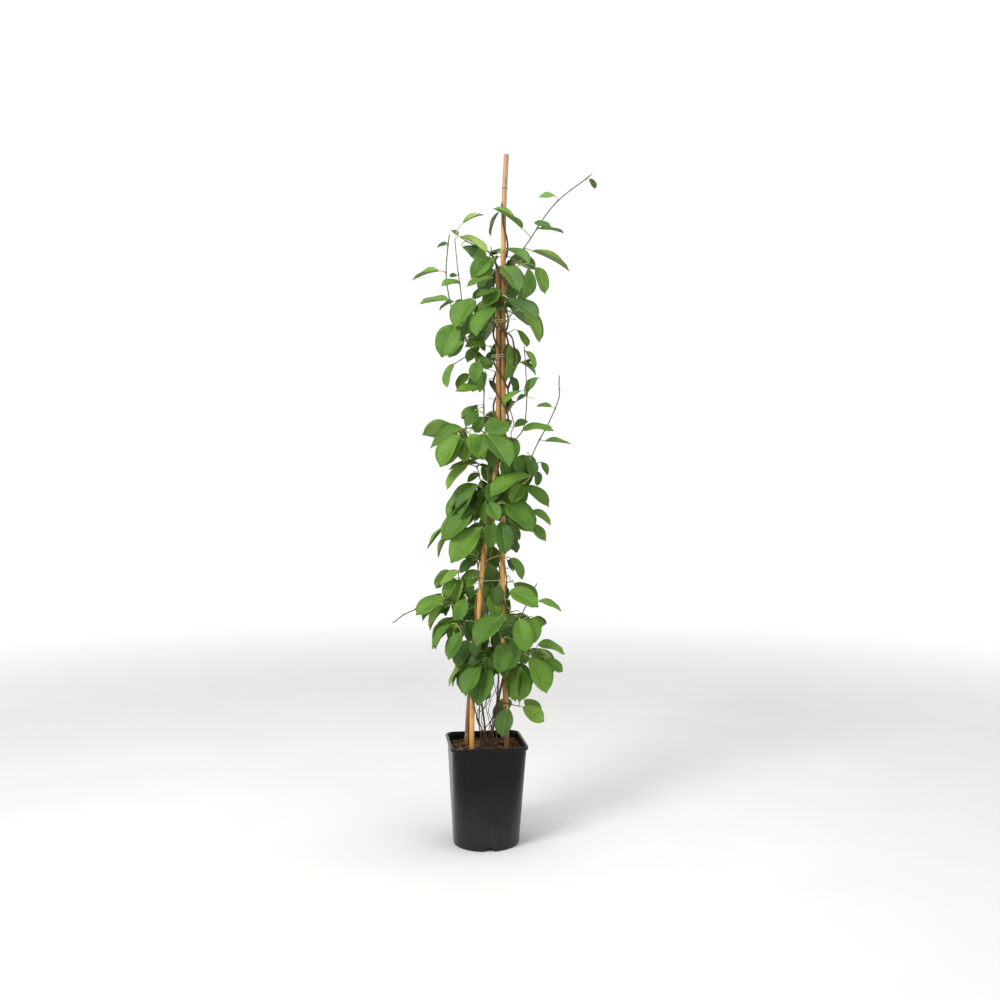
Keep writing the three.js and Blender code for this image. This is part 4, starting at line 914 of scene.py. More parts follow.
BLOOM = (0.45, 0.36, 0.23)
SCAR = (0.11, 0.055, 0.026)
CUT_GREY = (0.25, 0.21, 0.16)
# Painted shade down inside the hollow cut top
HOLLOW_PAINTED_SHADE = (0.045, 0.034, 0.022)
# Black plastic, lighter on scuffs and in a painted reflection near the foot
PLASTIC_AND_REFLECTION = ((0.0, (0.0024, 0.0025, 0.0027)), (0.7, (0.0125, 0.0125, 0.0118)), (1.0, (0.026, 0.025, 0.0225)))
PEAT = ((0.3, (0.035, 0.023, 0.012)), (0.5, (0.11, 0.068, 0.035)), (0.75, (0.25, 0.155, 0.078)))
DAMP_PEAT = (0.12, 0.066, 0.032)
CHIP_DIRT = (0.03, 0.018, 0.011)
BARK_COLOURS = np.array([(0.09, 0.048, 0.025), (0.2, 0.088, 0.034), (0.3, 0.13, 0.05), (0.46, 0.27, 0.12),
                         (0.05, 0.03, 0.019), (0.13, 0.065, 0.03)])
# Each string's painted shade between its strands, then its own colour
GREEN_STRING_SHADE_AND_COLOUR = (0.2, 0.27, 0.13), (0.46, 0.58, 0.34)
PALE_STRING_SHADE_AND_COLOUR = (0.36, 0.32, 0.24), (0.74, 0.7, 0.58)
FLOOR = ((0.3, (0.8, 0.795, 0.785)), (0.7, (0.83, 0.825, 0.815)))


def leaf_material():
    """Satin green with faint pale veins, each leaf its own green and its painted shade. Tags: vein number,
    place across, and tone with the painted shade, which is below zero on the underside."""
    made = Material("kiwi_leaf")
    vein_place, lateral, tone = made.tag()
    underside = made.math("LESS_THAN", tone, -0.5)
    side = made.math("ABSOLUTE", lateral)
    side_vein = made.between(made.math("PINGPONG", vein_place, 0.5), 0.0, 0.11, 1.0, 0.0)
    thinning = made.between(side, 0.3, 1.0, 1.0, 0.2)
    rib = made.between(side, 0.012, 0.045, 1.0, 0.0)
    veins = made.math("MAXIMUM", made.times(side_vein, thinning), rib)
    net = made.between(made.cells("DISTANCE_TO_EDGE"), 0.0, 0.14, 1.0, 0.0)
    mottle = made.noise(38.0, 5)
    # The tone holds each leaf's own green and its painted shade
    shade = made.plus(made.math("FRACT", tone), made.between(mottle, 0.3, 0.7, -0.13, 0.13))
    colour = made.mix(made.times(net, 0.1), made.ramp(shade, *LEAF_GREENS), NET_GREEN)
    colour = made.mix(made.times(rib, 0.4), colour, RIB_GREEN)
    colour = made.mix(made.times(side_vein, made.times(thinning, 0.24)), colour, VEIN_GREEN)
    colour = made.mix(underside, colour, made.mix(0.45, colour, UNDER_GREEN))
    made.coat(colour, made.between(mottle, 0.3, 0.7, 0.4, 0.54))
    made.bump(made.plus(made.times(veins, -1.0), made.times(net, -0.3)), 0.0004, 0.5)
    made.share_with(GLOW, made.add("BsdfTranslucent", Color=made.mix(0.5, colour, GLOW_GREEN)))
    return made.material


def stem_material():
    """Thin bark, dark brown at the foot and greenish at the tips. Tags: age, tone, and 1 on a petiole."""
    made = Material("kiwi_stem")
    age, tone, petiole = made.tag()
    streaks = made.noise(240.0, 4, 0.25)
    bark = made.ramp(made.plus(age, made.between(streaks, 0.3, 0.7, -0.12, 0.12)), *BARK)
    bark = made.mix(made.between(made.cells("F1"), 0.12, 0.2, 0.55, 0.0), bark, LENTICEL)
    made.coat(made.mix(petiole, bark, made.ramp(tone, *STALKS)), 0.6, 0.3)
    made.bump(streaks, 0.0004, 0.7)
    return made.material


def cane_material(name, skins, stained):
    """Bamboo: fine streaks along the cane, dark scars at the joints, painted shade where the canes lie
    together
    and grey at the cut top. Tags: distance from the nearest joint, how near the top, painted shade inside the
    cut."""
    made = Material(name)
    joint, top, painted_hollow_shade = made.tag()
    fine = made.noise(330.0, 5, 0.03)
    broad = made.noise(30.0, 4, 0.25)
    shade = made.plus(made.times(fine, 0.6), made.times(broad, 0.4))
    height = made.height()
    # Painted shade where the canes lie together among the leaves
    bundled = made.times(made.between(height, 0.66, 0.74), made.between(height, 0.99, 1.05, 0.6, 0.0))
    colour = made.ramp(shade, *zip((0.3, 0.5, 0.7), skins))
    for share, over in ((bundled, BUNDLE_PAINTED_SHADE),
                        (made.between(height, 1.02, 1.17, 0.0, 0.85), WEATHERED_TAN),
                        (made.between(height, 0.17, 0.27, stained, 0.0), STAIN),
                        (made.between(made.noise(60.0, 6, 0.5), 0.54, 0.72, 0.0, 0.55), BLOTCH),
                        (made.between(joint, 1.5, 9.0, 0.4, 0.0), BLOOM),
                        (made.between(joint, 0.4, 1.6, 0.8, 0.0), SCAR),
                        (made.times(top, 0.75), CUT_GREY),
                        # Painted shade down inside the hollow cut top
                        (painted_hollow_shade, HOLLOW_PAINTED_SHADE)):
        colour = made.mix(share, colour, over)
    made.coat(colour, made.between(fine, 0.3, 0.7, 0.36, 0.6), 0.4)
    made.bump(made.plus(fine, made.times(broad, 0.5)), 0.0004, 0.6)
    return made.material


def pot_material():
    """Black moulded plastic: satin, with fine scuffs and dust, and a painted reflection that lightens it
    toward the foot.
    """
    made = Material("pot_plastic")
    dust_and_reflection = made.noise(14.0, 6)
    scuffs = made.noise(80.0, 5, 0.1)
    grain = made.noise(900.0, 2)
    # A wavy line low on the wall, below which a painted reflection lightens the plastic
    reflection_edge = made.plus(made.height(), made.between(dust_and_reflection, 0.3, 0.7, -0.02, 0.02))
    marks = made.times(made.between(dust_and_reflection, 0.42, 0.72), made.between(scuffs, 0.4, 0.75, 0.0, 0.5))
    colour = made.ramp(made.plus(made.between(reflection_edge, 0.03, 0.13, 0.85, 0.0), marks), *PLASTIC_AND_REFLECTION)
    made.coat(colour, made.between(made.plus(dust_and_reflection, made.times(scuffs, 0.5)), 0.5, 1.0, 0.2, 0.33), 0.19)
    made.set(made.shader, Sheen_Weight=0.04, Sheen_Roughness=0.4)
    made.bump(made.plus(grain, made.times(scuffs, 1.5)), 0.0002, 0.4)
    return made.material


def soil_material(name, lying):
    """Peat, or the bark that lies on it. A chip's tag is its own colour."""
    made = Material(name)
    crumbs = made.noise(380.0, 6)
    if lying:
        own = made.add("Attribute", {"attribute_name": "tag"}).outputs["Color"]
        colour = made.mix(made.between(crumbs, 0.35, 0.7, 0.0, 0.6), own, CHIP_DIRT)
    else:
        damp = made.between(made.noise(60.0), 0.45, 0.7, 0.0, 0.35)
        colour = made.mix(damp, made.ramp(crumbs, *PEAT), DAMP_PEAT)
    made.coat(colour, 0.88, 0.25)
    made.bump(crumbs, 0.0012, 0.9)
    return made.material


def tie_material(name, colours):
    """Twisted string with painted shade between its strands. Tags: turns of the strands along it."""
    made = Material(name)
    # Painted shade in the grooves between the twisted strands
    twist = made.between(made.math("PINGPONG", made.tag()[0], 0.5), 0.0, 0.3)
    shade = made.times(twist, made.between(made.noise(1400.0), 0.2, 0.8, 0.6, 1.0))
    made.coat(made.ramp(shade, *zip((0.0, 0.7), colours)), 0.72)
    made.bump(twist, 0.0004, 0.8)
    return made.material


# Blades: toothed, veined and waved, on the same surface as the solids' blades. Rises are shares of the length
ACROSS = np.array([-1, -0.78, -0.5, -0.24, -0.07, 0, 0.07, 0.24, 0.5, 0.78, 1])
RIB_COLUMN = 5
ROW_CROWDING = 1.3
TOOTH_SPACING = 3.0
TOOTH_DEPTH = 0.5
TOOTH_LEAN = 0.5
TEETH_BEGIN = (0.05, 0.16)
TEETH_END = (0.93, 1.0)
FULL_TOOTH_LENGTH = 45
LEAST_TEETH = 8
LEAST_WIDTH = 0.98
MORE_WIDTH = 0.12
TIP_NARROWING = 0.4
TIP_NARROWS = (0.85, 0.95)
TIP_CLOSES = (0.975, 1.0)
BLADE_THICKNESS = 0.36
LEAST_VEINS = 7
MORE_VEINS = 2
VEIN_SLANT = 0.26
VEIN_RISE = 0.011
VEIN_SWELLING = 2.2
VEIN_ENDING = 3
RIB_SINK = 0.006
RIB_WIDTH = 0.09
MARGIN_WAVE = 0.03
LEAST_SWAY = 0.4
MORE_SWAY = 0.6
WAVES_ALONG = 8.2
WAVE_SHIFT = 6.28
SIDES_APART = 1.7
TIP_CURL = 0.045
CURL_MIDDLE = 0.35
CURLED_PART = (0.6, 1.0)
BLADE_TWIST = 0.04
FLAT_FOOT = (0.0, 0.12)
OUTER_REACH = 70
SMALL_LEAF_LENGTH = 40
# A leaf's tone: its own green at random, with painted light away from the canes and painted shade well in
# front and on small leaves
PLAIN_TONE = 0.2
TONE_BY_CHANCE = 0.5
PAINTED_LIGHT_OUTSIDE = 0.4
PAINTED_SHADE_FORWARD = 0.006
PAINTED_SHADE_SMALL = 1.4
TONE_RANGE = (0.02, 0.98)
PETIOLE_SIDES = 6
LEAST_PETIOLE_STEPS = 5
SLIM_PETIOLE = 0.65
MORE_PETIOLE = 0.3
FULL_PETIOLE_LENGTH = 60
PETIOLE_TAPER = 0.82
PETIOLE_SWELLING = (1.7, 1.25)
RIB_BELOW_BLADE = 0.35


def leaf_number(leaf, use):
    return chance(leaf["index"] + (FAR_LEAF if leaf["behind"] < 0 else 0), use)


def leaf_tone_and_painted_shade(leaf):
    """Each leaf's own green at random, with painted shade: darker near the canes, well in front and on small
    leaves.
    """
    foot = leaf["foot"]
    inward = (cane_at("cane_tall", foot[2]) + cane_at("cane_front", foot[2])) / 2 - foot
    outer = min(1, np.linalg.norm(inward) / OUTER_REACH)
    forward = -leaf["behind"] * foot[1]
    smallness = max(0, 1 - leaf["length"] / SMALL_LEAF_LENGTH)
    tone = PLAIN_TONE + TONE_BY_CHANCE * leaf_number(leaf, "tone") + PAINTED_LIGHT_OUTSIDE * outer
    return np.clip(tone - PAINTED_SHADE_FORWARD * forward - PAINTED_SHADE_SMALL * smallness, *TONE_RANGE)


def blade_grid(leaf):
    """A toothed blade's points: the place along it, the share and the place across it, and its profile."""
    length = leaf["length"]
    teeth = max(LEAST_TEETH, round(length / TOOTH_SPACING))
    along = (np.arange(2 * teeth + 1) / (2 * teeth)) ** ROW_CROWDING
    profile = blade_half_width(along)
    width = LEAST_WIDTH + MORE_WIDTH * leaf_number(leaf, "width")
    width *= 1 - TIP_NARROWING * eased(along, *TIP_NARROWS) * (1 - eased(along, *TIP_CLOSES))
    toothed = eased(along, *TEETH_BEGIN) * (1 - eased(along, *TEETH_END)) * (np.arange(len(along)) % 2)
    half = length * BLADE_WIDTH_PER_LENGTH * np.maximum(profile * width, 1e-4) / 2
    across = np.tile(ACROSS, (len(along), 1))
    depth = TOOTH_DEPTH * min(1, length / FULL_TOOTH_LENGTH) * toothed / half
    across[:, [0, -1]] *= 1 + depth[:, None]
    lateral = across * width[:, None]
    forward = np.zeros_like(across)
    forward[:, [0, -1]] = (TOOTH_LEAN * np.gradient(along) * toothed)[:, None]
    place = np.minimum(along[:, None] + forward, 1)
    return place, across, lateral, profile[:, None]


def vein_relief(across, lateral, reach, vein):
    """Side veins that stand out between the rib and the margin, and a rib that is sunk."""
    rise = VEIN_RISE * np.sin(math.pi * vein) ** 2 * np.clip(reach * VEIN_SWELLING, 0, 1)
    rise *= np.clip((1.05 - np.abs(across)) * VEIN_ENDING, 0, 1)
    return rise - RIB_SINK * np.exp(-((lateral / RIB_WIDTH) ** 2))


def waved(rise, leaf, place, lateral, profile):
    """Adds a waved margin, a curled tip and a twist, all of which fade out at the blade's foot."""
    phase = WAVE_SHIFT * leaf_number(leaf, "wave") + SIDES_APART * np.sign(lateral)
    sway = LEAST_SWAY + MORE_SWAY * leaf_number(leaf, "sway")
    rise += MARGIN_WAVE * sway * lateral**2 * np.sin(WAVES_ALONG * place + phase)
    rise += TIP_CURL * (leaf_number(leaf, "tip") - CURL_MIDDLE) * eased(place, *CURLED_PART) ** 2
    rise += BLADE_TWIST * (2 * leaf_number(leaf, "twist") - 1) * lateral * profile * place
    return rise * (leaf["length"] * eased(place, *FLAT_FOOT))


def fine_blade(heap, leaf):
    """A thin closed blade. Returns the line along its rib."""
    place, across, lateral, profile = blade_grid(leaf)
    reach = np.abs(lateral) * profile
    vein = (place - VEIN_SLANT * reach) * (LEAST_VEINS + round(MORE_VEINS * leaf_number(leaf, "veins")))
    rise = waved(vein_relief(across, lateral, reach, vein), leaf, place, lateral, profile)
    up = blade_up(leaf, place)
    points = blade_point(leaf, place, lateral) + up * rise[..., None]
    thin = 0.5 * BLADE_THICKNESS * up
    # The third tag is the leaf's tone with its painted shade
    tags = np.stack([vein, np.abs(across) * (0.25 + 0.75 * profile), np.full_like(vein, leaf_tone_and_painted_shade(leaf))], -1)
    rings = np.concatenate([points + thin, (points - thin)[:, ::-1]], 1)
    ring_tags = np.concatenate([tags, tags[:, ::-1] - [0, 0, 2]], 1)
    rib = points[:, RIB_COLUMN]
    heap.solid(rings, ring_tags, rib[[0, -1]])
    return rib


def fine_petiole(heap, found, start, rib):
    """The stalk, and the rib that it becomes under the blade."""
    leaf = found["leaf"]
    foot = leaf["foot"]
    halfway = found["petiole"].at(0.5)[0] + (start - found["root"]) * 0.5
    stalk = bow(start, 2 * halfway - 0.5 * (start + foot), foot)
    steps = max(LEAST_PETIOLE_STEPS, math.ceil(stalk.length / STALK_SPACING))
    points = np.vstack([stalk.even(steps)[:-1], rib[::4][:-1] - RIB_BELOW_BLADE * leaf["normal"]])
    share = np.linspace(0, 1, len(points))
    full = SLIM_PETIOLE + MORE_PETIOLE * min(1, leaf["length"] / FULL_PETIOLE_LENGTH)
    radii = full * (1 - PETIOLE_TAPER * eased(share, 0.3, 1.0))
    radii[:2] *= PETIOLE_SWELLING
    ruddy = leaf_number(leaf, "ruddy")
    tone = np.clip(ruddy * (0.6 + 0.5 * (1 - share)), 0, 1)
    heap.tube(points, radii, PETIOLE_SIDES, np.stack([0 * share, tone, 0 * share + 1], -1))


# Stems: round, tapering, a little swollen where they bear a leaf, with buds and thin flower stalks
STEM_SIDES = 9
HELD_WITHIN = (12, 30)
THICKENING = (660, 780)
YOUNG_ABOVE = (230, 420)
HELD_AGE = 0.4
BUNDLED_AGE = 0.42
FREE_STEM_RADIUS = 1.2
FREE_STEM_TAPER = 0.2
FOOT_SLIMMER = 0.1
BUNDLED_THICKER = 0.45
SIDE_SHOOT_RADIUS = 1.1
SIDE_SHOOT_TAPER = 0.35
SIDE_SHOOT_YOUNGER = 0.6
LEAF_BASE_RADIUS = 0.45
LEAF_BASE_LENGTH = 2.6
END_TAPER = 0.4
BUD_SIDES = 6
BUD_LENGTH = 2.4
BUD_SIZES = (0.7, 1.2)
BUDS_ABOVE_SOIL = 20
BUD_AGE = 0.7
SHOOT_SIDES = 8
SHOOT_STEPS = 60
LOWEST_FLOWER = 300
FLOWERS_WITHIN = 45
FLOWER_SHARE = 0.6
FLOWER_RADII = [0.6, 0.5, 0.46, 0.44, 0.44, 0.46, 0.4]
FLOWER_LENGTHS = (8, 19)
FLOWER_BUD_SIZES = (0.9, 1.5)
TANGLE_RADIUS = 0.85
TANGLE_AGE = 0.95
OLD_WOOD_AGE = 0.9
UP = np.array([0.0, 0.0, 1.0])


def softened(points, rounds=6):
    """A line with its corners rounded."""
    points = points.copy()
    for _ in range(rounds):
        points[1:-1] = (points[:-2] + 2 * points[1:-1] + points[2:]) / 4
    return points


def wood_tags(age):
    return np.stack([age, 0 * age + 0.5, 0 * age], -1)


def fine_stem(heap, item, roots):
    """Old at its foot, slim and brown on a cane, thick and dark round the bundle, green where it is free."""
    points = softened(item["points"])
    share = np.linspace(0, 1, len(points))
    height = points[:, 2]
    from_cane = np.min([length_of(points - cane_at(name, height).T) for name in CANES], axis=0)
    held = 1 - eased(from_cane, *HELD_WITHIN)
    bundled = held * eased(height, *THICKENING)
    foot = 1 - eased(height, *YOUNG_ABOVE)
    age = np.maximum(foot, HELD_AGE * held + BUNDLED_AGE * bundled)
    radii = FREE_STEM_RADIUS - FREE_STEM_TAPER * share * (1 - held) - FOOT_SLIMMER * foot
    radii += BUNDLED_THICKER * bundled
    if not item["is_stem"]:
        radii = SIDE_SHOOT_RADIUS - SIDE_SHOOT_TAPER * share
        age *= 1 - SIDE_SHOOT_YOUNGER * share
    radii *= 1 + 0.06 * np.sin(share * len(points) * 1.9)
    for root in roots:
        radii += LEAF_BASE_RADIUS * np.exp(-((length_of(points - root) / LEAF_BASE_LENGTH) ** 2))
    radii[-1] *= END_TAPER
    heap.tube(points, radii, STEM_SIDES, wood_tags(age))
    return points


def thin_shoot(heap, route, radius, age):
    """A slightly uneven shoot that tapers and grows younger along its route."""
    points = through(route).even(SHOOT_STEPS)
    share = np.linspace(0, 1, len(points))
    radii = radius * (1 + 0.1 * np.sin(share * 43) + 0.08 * np.sin(share * 97)) * (1 - 0.4 * share)
    radii[-1] *= END_TAPER
    heap.tube(points, radii, SHOOT_SIDES, wood_tags(age - 0.3 * share))


def bud(heap, place, direction, size, tags):
    """A small pointed bud."""
    share = np.linspace(0, 1, 6)
    points = place + direction * (share * size * BUD_LENGTH)[:, None]
    heap.tube(points, size * np.sin(math.pi * (share * 0.86 + 0.1)) ** 0.8, BUD_SIDES, tags)


draw = np.random.default_rng(20)


def away_from_middle(place):
    middle = bundle_middle(place[2]) if place[2] > CANES_MEET[0] else UP * place[2]
    return unit((place - middle) * [1, 1, 0] + [1e-3, 0, 0])


def flower_stalks(heap, lines):
    """Thin pale stalks with small round buds, in the leaf axils near the canes."""
    for point in itertools.chain(*[line[5::7] for line in lines]):
        if point[2] < LOWEST_FLOWER or abs(point[0] - PLANT_MIDDLE) > FLOWERS_WITHIN:
            continue
        if draw.random() > FLOWER_SHARE:
            continue
        outward = away_from_middle(point)
        aside = np.cross(UP, outward) * draw.uniform(-0.9, 0.9)
        direction = unit(outward + aside + UP * draw.uniform(-0.5, 0.8))
        reach = direction * draw.uniform(*FLOWER_LENGTHS)
        tip = point + reach - UP * draw.uniform(0, 4)
        stalk = bow(point, point + reach * 0.5 + UP * 2, tip)
        heap.tube(stalk.even(6), FLOWER_RADII, BUD_SIDES, (0.0, draw.uniform(0.2, 0.5), 1.0))
        bud(heap, tip, direction, draw.uniform(*FLOWER_BUD_SIZES), (0.0, draw.uniform(0.2, 0.6), 1.0))


def winter_buds(heap, line):
    """Small brown buds and stubs of old stalks, one side then the other."""
    for number, point in enumerate(line[8::6]):
        if point[2] >= SOIL_TOP + BUDS_ABOVE_SOIL:
            outward = away_from_middle(point)
            aside = np.cross(UP, outward) * (1 if number % 2 else -1)
            direction = unit(0.5 * outward + aside + 0.8 * UP)
            bud(heap, point + direction * 0.6, direction, draw.uniform(*BUD_SIZES), (BUD_AGE, 0.5, 0.0))


leaf_green = leaf_material()
stem_bark = stem_material()
for owner, tangled in zip(STEMS, TANGLE):
    blades = Heap()
    wood = Heap()
    own = [found for found in leaves if found["owner"] == owner]
    lines = []
    for item in routes:
        if item["owner"] == owner:
            roots = [found["root"] for found in own if length_of(item["points"] - found["root"]).min() < 0.1]
            lines.append(fine_stem(wood, item, roots))
    nearest = np.vstack(lines)
    for found in own:
        rib = fine_blade(blades, found["leaf"])
        start = nearest[length_of(nearest - found["root"]).argmin()]
        fine_petiole(wood, found, start, rib)
    winter_buds(wood, lines[0])
    flower_stalks(wood, lines)
    thin_shoot(wood, tangled, TANGLE_RADIUS, TANGLE_AGE)
    for radius, route in OLD_WOOD.get(owner, []):
        thin_shoot(wood, route, radius, OLD_WOOD_AGE)
    blades.piece(owner + "_blades", leaf_green, owner)
    wood.piece(owner + "_wood", stem_bark, owner)


# Canes: round, with a ridge and scar at each joint and a hollow cut top, given as drop, radius share and
# painted shade
CANE_SIDES = 22
CANE_STEP = 9.0
RIDGE_WIDTH = 3.2
GROOVE_ABOVE = 0.9
GROOVE_WIDTH = 0.5
GROOVE_DEPTH = 0.75
CANE_WAVER = 0.012
CANE_OVAL = 0.018
RIM_ROUNDING = (0.12, 0.45)
TOP_WEATHERED = 14
FAR_FROM_JOINT = 50
JOINT_LEVELS = (-7, -4, -2, -1, -0.3, 0.4, 1, 1.7, 3, 6)
CUT_LEVELS = (1.5, 0.5, 0)
CANE_HOLLOW = [(0, 0.5, 0), (-0.6, 0.42, 0.5), (-7, 0.36, 1.0)]


def fine_cane(name, material):
    """A cane with more rings near its joints and its cut top."""
    cane = CANES[name]
    bottom, top = cane["points"][[0, -1], 2]
    levels = {*np.arange(bottom, top, CANE_STEP), *np.add.outer(cane["joints"], JOINT_LEVELS).ravel()}
    levels = np.array(sorted({*levels, *(top - np.array(CUT_LEVELS))}))
    above = np.array([min((level - joint for joint in cane["joints"]), key=abs) for level in levels])
    groove = GROOVE_DEPTH * np.exp(-(((above - GROOVE_ABOVE) / GROOVE_WIDTH) ** 2))
    ridge = np.exp(-((above / RIDGE_WIDTH) ** 2)) - groove
    radii = cane["radius"] * (1 - CANE_WAVER * np.sin(levels * 0.021)) + JOINT_SWELLING * ridge
    radii[-2:] -= RIM_ROUNDING
    middles = np.array([cane_at(name, level) for level in levels])
    ring = circle(CANE_SIDES)
    angle = np.arange(CANE_SIDES) / CANE_SIDES * 2 * math.pi
    oval = radii[:, None] * (1 + CANE_OVAL * np.cos(2 * angle + levels[:, None] * 0.004))
    rings = middles[:, None] + ring * oval[..., None]
    hollow = [middles[-1] + ring * cane["radius"] * share + UP * drop for drop, share, _ in CANE_HOLLOW]
    tags = np.stack([np.abs(above), eased(levels, top - TOP_WEATHERED, top), 0 * levels], -1)
    hollow_tags = [(FAR_FROM_JOINT, 1, painted_shade) for _, _, painted_shade in CANE_HOLLOW]
    heap = Heap()
    heap.solid([*rings, *hollow], [*tags, *hollow_tags])
    heap.piece(name + "_bamboo", material, name)


fine_cane("cane_tall", cane_material("bamboo_tall", TAN_BAMBOO, 0.8))
fine_cane("cane_front", cane_material("bamboo_front", TAN_BAMBOO, 0.0))
fine_cane("cane_back", cane_material("bamboo_brown", BROWN_BAMBOO, 0.0))


# Pot: a rounded square at the rim that grows round toward the foot. Rings are a height and an outset, and the
# lip's heights count down from the rim
POT_QUARTER = 44
FOOT_RINGS = [(0, -NOTCH_DEPTH), (0, -1.4), (0.3, -0.6), (1.0, -0.1), (2.2, 0), (4, 0), (6.2, 0)]
WALL_HEIGHTS = (9, 14, 22, 34, 48, 64, 82, 100, 118, 136, 152, 164, 170)
LIP_RINGS = [(LIP_HEIGHT + 1.2, 0), (LIP_HEIGHT + 0.4, 0.25), (LIP_HEIGHT, 1.1), (LIP_HEIGHT - 0.2, 2.1),
             (LIP_HEIGHT - 0.8, 2.8), (LIP_HEIGHT - 2, LIP_OUT), (2.2, LIP_OUT), (0.9, 2.7), (0.2, 1.9),
             (0, 0.9), (0.1, -0.4), (0.7, -1.2), (1.8, -POT_WALL)]
INSIDE_HEIGHTS = (174, 166, 150, 120, 80, 40, 9)
FLOOR_RING = (7.2, -POT_WALL - 1.8)


def with_pot(x, y):
    """A place turned as the pot is."""
    return x * math.cos(POT_TURN) - y * math.sin(POT_TURN), x * math.sin(POT_TURN) + y * math.cos(POT_TURN)


def pot_ring(height, outset, scale=1.0):
    """The pot's outline at a height, set outward and then scaled about the middle."""
    squareness = height / POT_HEIGHT
    core = (POT_HALF_TOP - POT_CORNER_RADIUS) * squareness
    corner = POT_FOOT_RADIUS + (POT_CORNER_RADIUS - POT_FOOT_RADIUS) * squareness + outset
    step = np.arange(4 * POT_QUARTER)
    angle = (step + 0.5) / POT_QUARTER * math.pi / 2
    diagonal = (step // POT_QUARTER + 0.5) * math.pi / 2
    x = (np.sign(np.cos(diagonal)) * core + corner * np.cos(angle)) * scale
    y = (np.sign(np.sin(diagonal)) * core + corner * np.sin(angle)) * scale
    return np.stack([*with_pot(x, y), np.full(len(x), height)], -1)


def notched(ring):
    """Lifts the parts of a foot ring that lie in a drainage notch."""
    ring = ring.copy()
    angle = np.arctan2(ring[:, 1], ring[:, 0]) - NOTCH_TURN
    pitch = 2 * math.pi / NOTCH_COUNT
    from_middle = np.abs((angle + pitch / 2) % pitch - pitch / 2) * POT_FOOT_RADIUS
    lift = 1 - eased(from_middle, NOTCH_WIDTH / 2 - 1.2, NOTCH_WIDTH / 2 + 0.6)
    ring[:, 2] = np.maximum(ring[:, 2], lift * NOTCH_HEIGHT)
    return ring


def fine_pot():
    rings = [notched(pot_ring(*ring)) for ring in FOOT_RINGS]
    rings += [pot_ring(height, 0) for height in WALL_HEIGHTS]
    rings += [pot_ring(POT_HEIGHT - down, outset) for down, outset in LIP_RINGS]
    rings += [pot_ring(height, -POT_WALL) for height in INSIDE_HEIGHTS]
    rings += [pot_ring(*FLOOR_RING)]
    under = pot_ring(*FOOT_RINGS[0])
    heap = Heap()
    heap.skin(np.array(rings), (0, 0, 0))
    heap.cap(rings[-1], rings[-1].mean(0), (0, 0, 0), up=True)
    heap.skin(np.array([under, rings[0]]), (0, 0, 0))
    heap.cap(under, under.mean(0), (0, 0, 0), up=False)
    heap.piece("pot_shell", pot_material(), "pot")


fine_pot()


# Soil: peat in low lumps, with bark chips and crumbs lying on it
CHIP_CORNERS = np.array([(x, y, z) for z in (-1, 1) for x, y in ((-1, -1), (1, -1), (1, 1), (-1, 1))], float)
CHIP_FACES = [(0, 3, 2, 1), (4, 5, 6, 7), (0, 1, 5, 4), (1, 2, 6, 5), (2, 3, 7, 6), (3, 0, 4, 7)]
CHIP_COUNT = 430
CHIP_SIZES = (4, 13)
CRUMB_COUNT = 900
CRUMB_SIZES = (1.4, 3.6)
CHIP_WIDTHS = (0.25, 0.6)
CHIP_THICKNESSES = (0.1, 0.25)
CHIP_RAGGEDNESS = (0.55, 1.1)
CHIP_SHADES = (0.7, 1.3)
CHIP_LIFTS = (0.0, 0.9)
CHIP_ROUNDING = 14
CHIP_TILT = 0.28
FROM_WALL = 1.5
FROM_CANE = 1
FROM_STEM = 0.6
SOIL_LEVELS = (10, 60, 120)
SOIL_RINGS = 46


def soil_height(x, y):
    small = 1.7 * np.sin(x * 0.33 + 1.3) * np.sin(y * 0.29)
    large = 1.1 * np.sin(x * 0.11 - y * 0.17)
    fine = 0.5 * np.sin(x * 1.1 + 0.6 * np.sin(y * 0.9)) * np.sin(y * 1.3 + 2)
    return SOIL_TOP + small + large + fine


def fine_soil():
    outset = -POT_WALL - SOIL_CLEARANCE
    rings = [pot_ring(8, outset - 2), *[pot_ring(level, outset) for level in SOIL_LEVELS]]
    for scale in np.linspace(1, 0.02, SOIL_RINGS):
        ring = pot_ring(SOIL_TOP, outset, scale)
        ring[:, 2] = soil_height(ring[:, 0], ring[:, 1])
        rings.append(ring)
    heap = Heap()
    heap.solid(rings, (0, 0, 0))
    heap.piece("soil_peat", soil_material("peat", False), "soil")


